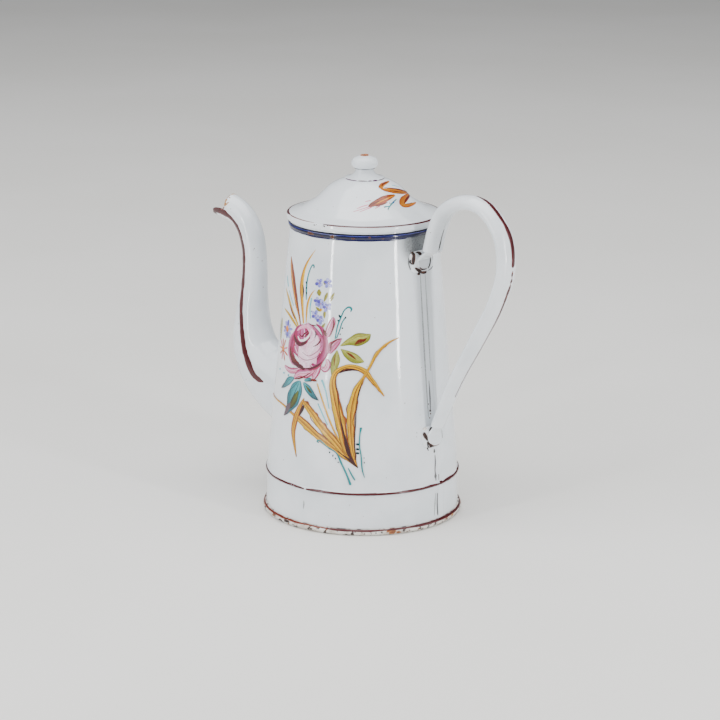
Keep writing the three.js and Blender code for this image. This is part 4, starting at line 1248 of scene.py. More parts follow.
BLADES = [
    ("gold", -1, 71.5, 0.7, 4, 60, 1.1, 10.5, 46, 1.2, 16, 36, 1.2, 22, 26, 0.9),
    ("sky", 2.5, 74.5, 1.6, 3.5, 73, 1.2, 6, 67, 0.8, 9.5, 54.5, 0.6),
    ("sky", 0.5, 57.5, 0.6, 4.5, 50.5, 0.8, 9, 43, 0.5),
    (
        "blade", 32, 14.5, 0.5, 23.5, 21, 2.6, 15.5, 26.5, 4.2, 1.5, 34.5, 5.3, -13.5, 43, 5.5,
        -22, 45.5, 2.2, -33, 49, 1.5, -63.5, 50, 0.7,
    ),
    (
        "blade", 32, 14.5, 0.4, 25, 21, 3.2, 15.5, 31.5, 5, 5, 41, 5.6, -4, 50, 5.1, -10.5, 55.5, 4.2,
        -12, 57, 1.9,
    ),
    (
        "blade_back", -11.5, 59, 0.7, -15, 52, 3.5, -19, 42.5, 4.9, -20.5, 33, 4, -18.5, 24.5, 2.2,
        -16, 16, 0.4,
    ),
    ("maroon", -10.5, 54.5, 0.4, -12.5, 51.5, 2.5, -15, 46, 0.6),
    (
        "blade", 32.5, 14, 0.4, 28, 21, 3.3, 23, 28.5, 4.7, 18.5, 45.5, 7, 13, 63.5, 6.6, 11, 74.5, 4.5,
        13.5, 81, 3.7, 22.5, 85.5, 3.3, 32, 83, 3.7, 39.5, 75, 2.9, 48, 64.5, 0.7,
    ),
    ("maroon", 14, 80, 0.4, 19.5, 83, 2.2, 23.5, 83.5, 1.6, 29.5, 83, 0.4),
    (
        "maroon", 13, 76, 0.2, 16, 60, 0.6, 19, 45.5, 0.9, 22.5, 33.5, 2, 25, 25.5, 2.9, 28.5, 20, 2.9,
        32.5, 14, 0.4,
    ),
    (
        "blade", 32, 14, 0.4, 28.5, 25, 3.3, 26.5, 37, 4.9, 25.5, 53, 5.9, 28, 68, 5.3, 31.5, 76, 2.9,
        35.5, 83.5, 1.9, 42, 96, 2.3, 49, 102, 1.7, 56.5, 105, 0.3,
    ),
    ("maroon", 32.5, 77.5, 0.2, 30.5, 69.5, 0.7, 29, 59, 0.6, 29, 46, 0.7, 29, 31, 0.9, 30.5, 19.5, 0.6),
    ("maroon", 32.5, 14, 0.4, 28.5, 18, 2, 23.5, 21.5, 0.9, 17, 25.5, 0.5),
    (
        "teal", 3, 29.5, 0.6, 1.5, 30.5, 1, 3.5, 31.5, 1, 9, 28, 0.9, 16.5, 24, 0.9, 20.5, 17, 1.2,
        24.5, 9.5, 1.2, 28, 1.5, 1.7,
    ),
    ("teal_dark", 11.2, 23.8, 1.5, 12, 23.9, 1.5),
    ("teal_dark", 13.8, 21.8, 1.5, 14.5, 21.8, 1.5),
    ("teal_dark", 15.8, 19.9, 1.5, 16.5, 20, 1.5),
    ("teal_dark", 17.9, 17.3, 1.1, 18.6, 17.4, 1.1),
    ("teal", 25.5, 14, 0.6, 28, 9.5, 1, 31, 5, 0.9),
    ("teal", 33, 43, 2.2, 32.5, 39, 1, 32.5, 31, 0.9, 34, 23.5, 0.9, 35.5, 13, 0.9, 37.5, 7, 0.4),
    ("teal_dark", 30, 31.1, 1.4, 32.5, 30.7, 1.4),
    ("teal_dark", 30.3, 27.6, 1.4, 32.6, 27.2, 1.4),
    ("teal_dark", 30.4, 24.8, 1.4, 32.8, 24.4, 1.4),
    ("teal_dark", 36, 21.3, 0.9, 36.6, 21.3, 0.9),
    ("teal_dark", 36.3, 18, 1.2, 37, 18, 1.2),
    ("teal_leaf", -22.5, 71.5, 0.9, -28, 68.5, 4.9, -33.5, 64, 3.7, -39, 60.5, 0.5),
    ("teal_leaf", -16, 70.5, 1.9, -19.5, 63.5, 11.6, -23.5, 55.5, 12.1, -27, 48.5, 5.9, -32.5, 42, 0.4),
    ("leaf_dark", -17, 63.5, 0.7, -20, 57.5, 5, -24, 51.5, 3.8, -29.5, 46.5, 0.6),
    ("teal_leaf", -13, 70, 1.5, -8, 66, 5.6, -3.5, 62, 3.9, 1, 59.5, 0.3),
    ("slate", -25, 53, 1, -28, 48.5, 4.6, -30.5, 44.5, 2.6, -32.5, 42, 0.6),
    ("leaf_dark", -10.4, 68.6, 0.5, -6.9, 65.4, 2.1, -4.4, 63.6, 0.4),
    ("teal_leaf", -12, 71.5, 1.5, -7.5, 73, 3, -5, 72.5, 1.2),
    ("bark", -6.4, 73, 0.6, -3.6, 73.2, 1.8, -1.1, 72.9, 0.5),
    ("sky", -46, 72.1, 0.8, -43.6, 72.7, 0.8),
    ("sky", -37.6, 71.4, 1, -35.9, 71.8, 1),
    ("sky", -30.5, 71.5, 1.2, -29.2, 71.8, 1.2),
]

VIOLETS = [
    (-3.7, 141.7), (3.6, 142.5), (-4.2, 128.8), (-1.6, 127.3),
    (3.5, 125.7), (-5.6, 118.7), (-1.7, 116.5),
]
# Each small violet flower also has a few dots, strewn this far across and up.
VIOLET_LOOKS = ("violet", "violet_pale", "violet_deep")
DOT_SPREAD, DOTS = (1.6, 1.8), 4
# Daisies: centre, petals, where these start and end, their width and looks, and the first one's turn.
DAISIES = [
    ((-41.1, 87.6), 9, 1.9, 8.2, 1.2, ("pink", "rust_petal", "rust_petal"), 20),
    ((-35.7, 103.3), 11, 1.5, 7.0, 2.0, VIOLET_LOOKS, 10),
]
DAISY_HEART = [(-2.4, 3.4), (0, 5.0), (2.4, 3.4)]

# Strokes on the lid: a look, then knots of angle, radius and width.
LID_SPRAY = [
    ("lid_gold", 77, 17.6, 1, 56, 18, 2.6, 40, 19.2, 3.4, 31.5, 21.6, 3, 31, 23, 1.6),
    ("bark", 66, 17.8, 0.6, 47, 18.4, 1.3, 36, 20.2, 0.9),
    ("lid_gold", 30, 22.4, 1.6, 37, 24, 3.2, 52, 25.6, 4.6, 66, 27.2, 4.4, 80, 28.8, 3, 96, 30.2, 1),
    ("rust", 44, 25.2, 0.6, 56, 26.8, 1.8, 70, 28.2, 1.4, 84, 29.4, 0.6),
    ("bark", 38, 22, 0.5, 54, 24, 1.2, 70, 26.2, 1.5, 88, 29, 1.3, 97, 30.2, 0.7),
    ("lid_gold", 92, 31, 1.4, 72, 31.2, 4, 57, 32.2, 4.8, 49, 34, 3.4, 47, 35, 1.6),
    ("bark", 90, 31.8, 0.8, 73, 31.9, 1.8, 63, 32.6, 1.6, 55, 34, 0.8),
    ("lid_gold", 47, 34.4, 1.8, 51, 35.6, 3.4, 60.5, 36, 3.2, 72, 36.3, 2.2, 82, 36.6, 0.8),
    ("bark", 54, 34.6, 0.4, 62, 35, 0.9, 72, 35.4, 0.5),
    ("ear", 49, 28.3, 1.2, 38, 28.7, 3.6, 28, 29.6, 5, 17, 31.2, 4.8, 9, 32.6, 3.4, 4.4, 33.7, 1.2),
    ("bark", 20, 30.6, 0.6, 11, 32, 2, 4.8, 33.6, 1.2),
    ("bark", 31, 31.6, 0.4, 22, 32.6, 1.3, 13, 33.4, 0.9),
    ("bark", 26, 28.4, 0.3, 18, 29.4, 0.8, 12, 30.6, 0.4),
    ("pink", 6, 33.6, 0.7, -2, 35.1, 0.6, -12, 37.8, 0.4),
    ("pink", 5, 32.4, 0.6, -3, 33.6, 0.6, -9, 35.2, 0.4),
    ("pink", 8.7, 30, 0.6, 4, 30.4, 0.6, 0.7, 30.7, 0.4),
    ("pink", 9, 33.9, 0.7, 2.3, 35.4, 0.6, -5.2, 37.7, 0.4),
    ("pink", 19, 33.5, 0.7, 14.7, 34.3, 0.6, 12, 35.2, 0.3),
    ("sky", 77, 25.2, 0.5, 69, 22.8, 0.8, 62, 21.4, 0.9),
    ("teal", 47, 30.6, 0.6, 38, 32.2, 1, 31.5, 34, 1, 27, 36, 0.8),
    ("teal", 31, 34.2, 0.7, 27.4, 34.1, 0.9, 23.7, 34.3, 1.2),
    ("teal_dark", 33.5, 32.2, 1.4, 32.6, 32.4, 1.3),
    ("teal_dark", 24.4, 34.3, 1.3, 23.4, 34.5, 1.3),
    ("teal_dark", 27.4, 36.3, 1.5, 26.6, 36.5, 1.3),
    ("slate_blue", 41, 31.6, 0.8, 37.6, 32.6, 1.4),
]

# Lines round the pot: look, start and stop angle, place, width, wander, unevenness and knots' spacing.
# Their places are mm along the crease or the rim from its edge, degrees on a roll, or heights.
CREASE_LINES = [
    ("line", -133, -35.5, 0, 2.6, 0.04), ("line", -34.7, 53, 0, 2.9, 0.04), ("line", 52, 228, 0, 3.4, 0.04),
]
CREASE_DRIP = [(51.6, 1.0), (53.7, 6.5), (55.8, 1.2)]
# Painted highlights along the top of the crease.
CREASE_PAINTED_HIGHLIGHTS = [
    ("painted_glint", start, stop, 1.5, 0.6, 0.05, 0.3) for start, stop in ((-41, -30), (-24, -2), (8, 24))
]
FOOT_LINES = [
    ("line", 12, 108, 46, 2.0, 2), ("line", -24, 16, 46, 1.7, 3), ("line", -98, -60, 44, 1.5, 3),
    ("line_brown", -62, -20, 50, 1.3, 5, 0.4, 3), ("line_brown", -98, -56, 46, 1.5, 5, 0.3, 4),
    ("line_brown", 104, 266, 49, 1.3, 5, 0.4, 5),
]
RIM_LINES = [
    ("line", -32, 130, 0, 2.0, 0.04, 0.1), ("line", 130, 286, 0, 1.7, 0.04, 0.12),
    ("line_brown", -76, -40, 0, 0.95, 0.05, 0.2),
]
# Painted shade round the knob's waist, under its ball, and lines round its foot: start and stop angle, look
# and width.
KNOB_WAIST = 7.4
WAIST_SHADE = ("grime", -130, 228, 249.5, 0.5, 0.1, 0.4, 9)
KNOB_FOOT_LINES = [
    (-75, -22, "line_violet", 0.6), (-20, 8, "line", 0.6), (10, 22, "line_violet", 0.7),
    (24, 42, "line_violet", 1.0), (44, 120, "line", 0.6), (124, 270, "line_violet", 0.6),
]
# Light and shade on the mouth's blue roll.
BEAD_LINE = ("blue_light", -150, 212, 28, 0.35, 3, 0.4, 6)
BEAD_SHADE = ("blue", -150, 34, SHELL_TOP - 0.2, 1.5, 0.1, 0.2, 5)

# Lines on the spout and the handle: share of the run in hundredths, section angle, width.
SPOUT_EDGE = [
    (97.2, 121, 1.6), (96, 114, 3.4), (94.4, 108, 4), (92.4, 106, 3.8), (90, 105.5, 3), (87, 105.5, 2.6),
    (84, 105.5, 2.5), (80.5, 107, 3), (76.5, 108.5, 3.3), (72.7, 108, 3.2), (69.5, 105, 2.9), (66.5, 105, 3),
    (62.7, 105.5, 3), (60, 105, 2.8), (56.5, 103.5, 2.7), (53, 102, 2.8), (50, 99, 2.6), (47, 94, 2.6),
    (43.5, 88, 2.6), (39.5, 83.5, 2.9), (35.5, 81.5, 3.2), (31.3, 81.5, 3.4), (28, 82, 3.8), (25, 84, 3.9),
    (22, 86.5, 3.8), (19.8, 86.5, 3.1), (17.8, 84, 2.1), (16.4, 81.5, 0.7),
]
HANDLE_EDGE = [
    [
        (31.4, 195, 0.9), (32.9, 191, 1.6), (34.2, 190, 2.1), (35.2, 189.5, 2.4), (37.3, 187, 2.6),
        (38.9, 184, 2.4), (40.5, 183.5, 2.5), (42, 184, 2.4), (43.7, 186.5, 2.7), (45.3, 188, 3),
        (47.2, 190, 3.1), (49.1, 191, 2.9), (51, 191, 2.8), (52.8, 189.5, 2.6), (54.3, 187, 2.4),
        (55, 186, 1.4),
    ],
    [(55.9, 185, 0.9), (56.6, 186, 1.5), (57.2, 187, 0.7)],
    [(57.7, 188, 0.9), (58.4, 190, 1.8), (59, 190, 0.9)],
    [
        (59.3, 190, 1.4), (61, 187, 2), (63, 185, 1.8), (65.2, 186, 1.6), (67.2, 190, 1.6), (69.3, 195, 1.5),
        (73, 195, 1.1), (78, 190, 0.9), (86, 185, 0.6),
    ],
]
# How much broader than their visible part these lines are drawn, because they run round the edge.
SPOUT_LINE_BROADER, HANDLE_LINE_BROADER = 1.4, 1.45
HANDLE_NICKS = (55.6, 57.0, 58.8, 62.0)
NICK = [(186, 0, 0.6), (189, 0.5, 0.8), (190, 0.9, 0.4)]
# Painted shade in the handle's open seam near its upper end: angle, share in hundredths, width.
HANDLE_SEAM_SHADE = [(2, 1.0, 0.7), (0, 3.5, 1.0), (0, 7.5, 0.8), (1, 10.5, 0.3)]

# The lip's paint: the section angles of its outer bands, of the cut edge and of its inner bands, then
# how far back from the cut these bands lie, and their width.
LIP_SIDE, LIP_EDGE = np.linspace(103, 178, 9), np.linspace(101, 259, 20)
LIP_WITHIN = np.linspace(102, 258, 26)
LIP_OUTSIDE, LIP_INSIDE = [(0.25, 1.6), (0.8, 1.8)], [(0.4, 2.4), (1.15, 2.6), (1.95, 2.6)]
# Wear on the hood's edge: start and stop section angle, look and width. Then its chips: section angle,
# distance back from the cut, and size across and along.
HOOD_WEAR = [
    (-88, -58, "tan", 1.0), (-54, -24, "tan", 0.8), (-22, 10, "tan", 0.9), (14, 40, "stain", 0.9),
    (42, 76, "stain", 1.5), (78, 98, "line_brown", 1.1),
]
HOOD_CHIPS = [(64, 0.5, 1.6, 2.6), (55, 1.0, 1.5, 1.3), (70, 0.4, 1.0, 1.8), (30, 0.6, 0.7, 1.5)]

# Wear round the tabs, and two painted highlights on the lower pad, in mm from the middle of each pad.
UPPER_TAB_WEAR = [
    ("grime", -10.4, 9.4, 0.5, -10.8, 7.8, 1.3, -10.2, 6.4, 0.9),
    ("bare", -8.7, 7.6, 0.9, -8.9, 5, 2.5, -9.5, 2.2, 2.8, -9.9, -1.2, 1.4),
    ("dark", -11.3, 2.6, 0.5, -11.7, 0.8, 1.1, -10.5, -1, 0.8),
    ("dark", -7.4, 6.8, 0.5, -5.7, 6.9, 1, -3.8, 6, 2.4, -1.8, 5.2, 1.4),
    (
        "bare", -8.6, -3.3, 1.1, -6.9, -4.7, 1.9, -5.1, -5.9, 2.2, -3.3, -7, 2, -1.3, -7.8, 2.1,
        1.3, -8.4, 2.2, 3.6, -8.4, 1.6, 5, -7.8, 0.7,
    ),
    ("dark", -4, -7.2, 1.4, -3.9, -8.7, 1.8),
    ("grime", 5.4, -7.9, 0.8, 8, -6.8, 1, 10.8, -5.5, 0.4),
    ("dark", 12, 3.4, 0.4, 12.1, 0.6, 0.9, 12.1, -2.2, 0.4),
    ("grime", -12.4, 4, 0.4, -12.8, 0, 0.8, -11.4, -4.6, 0.5),
]

TONGUE_WEAR = [
    ("dark", 6.3, 3.2, 0.4, 6.3, 0.6, 0.9, 5.6, -2, 1, 4.4, -4.2, 0.9, 2.8, -5.4, 0.6),
    ("bare", -5.4, -3.2, 0.5, -4, -4.8, 1, -1.2, -5.4, 0.9, 2, -5.4, 0.5),
]

LOWER_TAB_WEAR_AND_HIGHLIGHTS = [
    ("dark", -4.7, 4.6, 1.2, -2.1, 6.1, 2, 0.9, 7.2, 1.1),
    ("bare", -9.2, 4.8, 1.2, -8.8, 2.6, 2.6, -7.6, 0.5, 2.4, -6.4, -2, 1.4),
    ("dark", -9, 4, 0.8, -8.4, 2.2, 2.4, -7.4, 0, 2),
    (
        "bare", -6.2, -1.8, 1.3, -5, -4.4, 1.5, -3.6, -6.3, 2.6, -1.8, -7.1, 2.6, 0.8, -7.4, 1.7,
        3.2, -7.5, 1.6, 5.8, -7.3, 0.7,
    ),
    ("dark", -6.9, -2.6, 1.1, -6.5, -5, 1.2, -6, -7.2, 1, -4.8, -10, 0.4),
    ("grime", 10.2, 2.2, 0.4, 10.1, -0.8, 0.9, 9.9, -3.8, 0.4),
    # Painted highlights on the lower pad.
    ("light", -9, 6, 0.9, -7.9, 6.8, 1.8, -6.4, 6.9, 0.9),
    ("light", -5.4, 0.8, 0.6, -4.6, -2, 1.3, -3.6, -4.4, 0.6),
]

# Chips: place, size across and up, and tones.
UPPER_TAB_CHIPS = [
    (-3.8, 6, 2.8, 2.2, BARE),
    (-3.9, -8.4, 2.8, 2, BARE),
    (-9.2, 6.2, 2.4, 2.4, BARE),
]

LOWER_TAB_CHIPS = [
    (-8.3, 1.6, 2.4, 2.6, BARE),
    (-3.2, -6.7, 3.2, 2.4, BARE),
    (-0.8, 18.2, 1.5, 1.6, BARE),
    (-0.6, 16, 1, 1, BARE),
    (-2.3, 23.3, 0.7, 0.8, BARE),
    (-1.8, 13.2, 0.8, 0.8, BARE),
]

BEAD_CHIPS = [
    (-44, -8, 5, 2.2, BROWN), (-24, -14, 3, 2.2, BROWN), (-8, -20, 2.2, 1.2, BROWN),
    (4, 10, 1.8, 1, BROWN), (-33, -30, 1.6, 0.8, BROWN), (14, -24, 1.4, 0.8, BROWN),
]
FOOT_CHIPS = [
    (17.5, 2, 5, 4, RUSTY), (15, 24, 3.4, 2, RUSTY), (21, -16, 3.4, 2, RUSTY), (88, 14, 5, 2.4, RUSTY),
    (-48, 8, 4, 2, BARE), (-30, -10, 2.6, 1.4, BARE), (-62, 0, 3, 1.6, RUSTY), (64, 8, 4, 2, TAN),
]

# Small chips strewn round the foot, at angles about the pot and on the roll, with sizes and shapes.
SMALL_CHIPS, SMALL_TONES = 46, (BARE, BROWN, BARE, RUSTY)
SMALL_ROUND, SMALL_ON_ROLL, SMALL_SIZE, SMALL_FLAT = (-92, 268), (-30, 40), (0.5, 1.8), (0.4, 0.8)
# Chips on the lid's rim: angle, distance in from its line, and size across and up.
RIM_CHIPS = [(-38.8, 1.7, 1.3, 0.9), (-37.0, 1.2, 0.8, 0.6), (-30.2, 1.5, 1.7, 1.1), (-27.5, 0.9, 1.0, 0.7)]

# Dirt in the seam of the wall and the lap of the band: angle, height, width. In the seam's list the strokes
# above the lower tab, under the handle, are painted shade of the handle.
SEAM_DIRT_AND_SHADE = [
    ("grime", 49.2, 56.2, 0.7, 49.1, 54.6, 2, 48.9, 53, 1.4),
    ("grime", 49.4, 52, 0.7, 49.5, 47, 1.4, 48.9, 40, 1.2, 49.4, 36.6, 1.5, 49.5, 32.6, 0.8),
    ("grime", 48.9, 38.4, 0.8, 49.2, 36, 2.9, 49.4, 34.4, 1.2),
    ("grime", 52.5, 54, 0.5, 52.5, 45, 1.2, 52.2, 32.4, 0.8),
    # From here on: painted shade of the handle, down the wall under it.
    ("grime", 47.9, 106, 0.5, 48, 95, 1.4, 47.6, 84, 1),
    ("faint", 45.4, 184, 0.4, 45.2, 150, 1.4, 45.2, 110, 1.2, 45.6, 80, 0.6),
    ("faint", 50.6, 182, 0.4, 50.4, 150, 1.2, 50.2, 112, 0.8),
]

LAP_DIRT = [
    ("faint", 49, 24, 0.6, 48.3, 16, 1.4, 47.8, 7, 0.8),
    ("grime", 50.6, 23.6, 1, 50.4, 15, 1.6, 50.9, 6.6, 1.3),
    ("grime", 50.6, 12, 0.5, 50.7, 8.6, 1.9, 50.9, 6.4, 0.6),
    ("faint", 54.6, 18, 0.4, 55.4, 12, 1.4, 56, 7, 0.6),
    ("faint", -36.6, 21, 0.4, -36.4, 18.4, 1.4, -36.8, 14.4, 0.4),
]

# Painted decoration

on_wall = wall_outline[:, 0] > wall_radius(wall_outline[:, 1]) - 0.8
on_wall &= wall_outline[:, 1] > WALL_START - 0.05
wall_face = on_run(wall_outline[on_wall])
band_face = on_run([(BAND_BOTTOM, ROLL_TOP), (BAND_TOP, BAND_HEIGHT)])
on_crease = (wall_outline[:, 0] > SHELL_BOTTOM + 0.1) & (wall_outline[:, 1] < WALL_START + 0.2)
crease_face, crease_edge = along_rows(wall_outline[on_crease], crease_radius, BAND_HEIGHT + 0.9)
foot_face = on_roll(ROLL_DRAWN, BAND_BOTTOM, ROLL_CENTRE)
bead_face = on_roll(BEAD_RADIUS, MOUTH_RADIUS - SHEET / 2, BEAD_CENTRE)
dome_face = on_run(lid_top[lid_top[:, 0] < flange], 0, -1)
rim_rows = [row for row in rim if row[0] > LID_RADIUS - 1.5 and row[1] > LID_BOTTOM + 2]
rim_rows.append((LID_RADIUS - 2.2, RIM_TOP))
rim_face, rim_edge = along_rows(rim_rows, LID_RADIUS - 0.75, RIM_TOP - 0.1)
spout_face = Face(lambda u, v: spout_point(v / 100, np.radians(u)), -1)
spout_inside = Face(lambda u, v: spout_point(v / 100, np.radians(u), SHEET), 1)
handle_face = Face(lambda u, v: handle_point(v / 100, np.radians(u)), -1)
knob_foot = Face(lambda u, v: turned(u, np.full(np.shape(u), KNOB_FOOT), v))
knob_waist = Face(lambda u, v: turned(u, np.full(np.shape(u), KNOB_WAIST), v))
SPRAY_ANGLE, SPRAY_FOOT = -30, 35
# How far marks on the pads and on the tongue stand off, to clear the pads' soft edges.
PAD_CLEAR, TONGUE_CLEAR = 0.3, 0.1


def spray_point(u, v):
    """The wall in mm to the right of the spray's middle and above its foot."""
    height = SPRAY_FOOT + np.asarray(v, float)
    return wall_face.point(SPRAY_ANGLE + np.degrees(u / wall_radius(height)), height)


spray_face = Face(spray_point)


def flower(paint, face, centre, count, near, far, width, looks, turn=0.0):
    """Petals brushed outward from a centre, each in one of the looks."""
    _, along_u, along_v, _ = face.frame(*centre)
    scale = np.array([np.linalg.norm(along_u), np.linalg.norm(along_v)])
    paint.step = THIN_LAYER
    for k in range(count):
        way = math.radians(turn + 360 * (k + rng.uniform(-0.16, 0.16)) / count)
        reach = far * rng.uniform(0.84, 1.1)
        arm = np.array([math.cos(way), math.sin(way)]) / scale
        petal = [(near, 0.35), (near + (reach - near) * 0.62, 1), (reach, 0.45)]
        knots = [(*(np.array(centre) + arm * out), width * broad) for out, broad in petal]
        paint.stroke(face, looks[k % len(looks)], knots)
    paint.step = LAYER


def strokes(paint, face, rows):
    """The strokes of a table, with the finer lines that the brush's hairs leave in some looks."""
    for look, *numbers in rows:
        knots = np.reshape(numbers, (-1, 3))
        paint.stroke(face, look, knots)
        paint.step = THIN_LAYER
        for shift, share, vein in VEINS.get(look, ()):
            paint.stroke(face, vein, knots, VEIN_UNEVEN, VEIN_UNEVEN, share, shift)
        paint.step = LAYER


def violet(paint, x, y):
    """A small violet flower with dots in it."""
    flower(paint, spray_face, (x, y), 5, 0.2, 3.7, 2.5, VIOLET_LOOKS, rng.uniform(0, 90))
    for _ in range(DOTS):
        dot = [at + rng.uniform(-spread, spread) for at, spread in zip((x, y), DOT_SPREAD)]
        paint.stroke(spray_face, "violet_deep", [(*dot, 0.7), (dot[0] + 0.7, dot[1] + 0.8, 0.5)])
    paint.stroke(spray_face, "ochre", [(x, y, 0.8), (x + 0.7, y, 0.8)])


def paint_wall():
    paint = Paint("wall_painting", "pot", paint_look)
    strokes(paint, spray_face, GRASSES)
    for x, y in VIOLETS:
        violet(paint, x, y)
    for (x, y), *petals in DAISIES:
        flower(paint, spray_face, (x, y), *petals)
        paint.stroke(spray_face, "ochre", [(x + out, y, width) for out, width in DAISY_HEART])
    strokes(paint, spray_face, ROSE)
    strokes(paint, spray_face, BLADES)
    paint.done()


def paint_lid():
    paint = Paint("lid_painting", "lid", paint_look)
    strokes(paint, dome_face, LID_SPRAY)
    paint.done()


def ring(paint, face, edge, look, start, stop, v, width, wander=0.0, uneven=0.16, step=7.0):
    """A line brushed round the pot between two angles, uneven in place and width, with thin ends."""
    knots = []
    for angle in np.linspace(start, stop, max(3, int(abs(stop - start) / step))):
        place = edge + v + wander * rng.uniform(-1, 1)
        knots.append((angle, place, width * (1 + uneven * rng.uniform(-1, 1))))
    for end in (0, -1):
        knots[end] = (*knots[end][:2], width * 0.4)
    paint.stroke(face, look, knots)


def paint_lines():
    """The thin maroon lines on every edge of the pot, where they have worn or run, with painted highlights on
    the crease and painted light and shade on the mouth's roll.
    """
    low = Paint("crease_and_foot_lines", "pot", paint_look)
    for line in CREASE_LINES:
        ring(low, crease_face, crease_edge, *line)
    low.stroke(crease_face, "line", [(angle, crease_edge, width) for angle, width in CREASE_DRIP])
    # Painted highlights along the crease.
    for line in CREASE_PAINTED_HIGHLIGHTS:
        ring(low, crease_face, crease_edge, *line)
    for line in FOOT_LINES:
        ring(low, foot_face, 0, *line)
    low.done()

    lid = Paint("lid_lines", "lid", paint_look)
    for line in RIM_LINES:
        ring(lid, rim_face, rim_edge, *line)
    # Painted shade in the undercut under the knob's ball.
    ring(lid, knob_waist, 0, *WAIST_SHADE)
    for start, stop, look, width in KNOB_FOOT_LINES:
        ring(lid, knob_foot, CROWN_TOP, look, start, stop, 0.5, width, 0.06, 0.2)
    lid.done()

    bead = Paint("bead_edge", "pot", paint_look, 1.2)
    ring(bead, bead_face, 0, *BEAD_LINE)
    ring(bead, wall_face, 0, *BEAD_SHADE)
    bead.done()


# The spout's cut edge: its section angles, and the shares, in hundredths, of its outside and inside.
CUT_DEGREES = np.degrees(np.append(SPOUT_ANGLES, 2 * np.pi))
outer_shares = np.append(outer_cut, outer_cut[0]) * 100
inner_shares = np.append(inner_cut, inner_cut[0]) * 100


def cut_share(shares, u):
    return np.interp(np.mod(u, 360), CUT_DEGREES, shares)


def cut_point(u, v):
    """The cut edge as a face: u is the section angle, v goes from the outside to the inside."""
    u, v = np.broadcast_arrays(np.mod(u, 360), v)
    a = spout_point(cut_share(outer_shares, u) / 100, np.radians(u))
    b = spout_point(cut_share(inner_shares, u) / 100, np.radians(u), SHEET)
    return a + (b - a) * v[..., None]


def paint_spout():
    """The lines down both sides, the maroon lip, and the hood's worn edge."""
    edge = Face(cut_point)
    paint = Paint("spout_lines", "pot", paint_look)
    for side in (1, -1):
        line = [(side * angle, share, width * SPOUT_LINE_BROADER) for share, angle, width in SPOUT_EDGE]
        paint.stroke(spout_face, "line", line, 0.06)
        for back, width in LIP_OUTSIDE:
            line = [(side * a, cut_share(outer_shares, a) - back, width) for a in LIP_SIDE]
            paint.stroke(spout_face, "lip", line, 0.03)
    paint.stroke(edge, "lip", [(a, 0.5, 1.2) for a in LIP_EDGE], 0.02)
    for depth, width in LIP_INSIDE:
        line = [(a, cut_share(inner_shares, a) - depth, width) for a in LIP_WITHIN]
        paint.stroke(spout_inside, "lip", line, 0.02)
    paint.done()

    worn_edge = Paint("spout_worn_edge", "pot", chip_look, 1.15)
    for start, stop, look, width in HOOD_WEAR:
        spots = np.linspace(start, stop, 6)
        back = [cut_share(outer_shares, u) - 0.16 for u in spots]
        worn_edge.stroke(edge, look, [(u, 0.42, min(width, 1.1)) for u in spots], 0.3)
        worn_edge.stroke(spout_face, look, [(u, v, width * 0.8) for u, v in zip(spots, back)], 0.3)
    for u, back, wide, tall in HOOD_CHIPS:
        worn_edge.chip(spout_face, u, cut_share(outer_shares, u) - back, wide, tall, TAN)
    worn_edge.done()


def paint_handle():
    """The maroon line along the handle's back, nicks in it, and painted shade in its open seam at the upper
    end.
    """
    paint = Paint("handle_line", "pot", paint_look)
    for run in HANDLE_EDGE:
        line = [(angle, share, width * HANDLE_LINE_BROADER) for share, angle, width in run]
        paint.stroke(handle_face, "line", line, 0.04)
    for share in HANDLE_NICKS:
        paint.stroke(handle_face, "line_brown", [(angle, share + on, width) for angle, on, width in NICK])
    # Painted shade in the open seam at the handle's upper end.
    paint.stroke(handle_face, "dark", HANDLE_SEAM_SHADE, 0.3)
    paint.done()


def pad_face(height, width):
    """The wall with a tab's pad on it: u is mm to the right of the pad's middle, v mm above it."""
    power = 2 / PAD_CORNER

    def point(u, v):
        u, v = np.broadcast_arrays(np.asarray(u, float), np.asarray(v, float))
        out = (np.abs(u / (width / 2)) ** power + np.abs(v / (PAD_HEIGHT / 2)) ** power) ** (1 / power)
        return around(np.pi + u / wall_radius(height), wall_radius(height + v) + pad_rise(out), height + v)

    return Face(point)


def tongue_face(height):
    """The flat face of a tab's tongue, in the same measures."""

    def point(u, v):
        u, v = np.broadcast_arrays(np.asarray(u, float), np.asarray(v, float))
        out = wall_radius(height + v) + TONGUE_OFF + TONGUE_THICK
        return np.stack([-out + 0 * u, -u, height + v], -1)

    return Face(point)


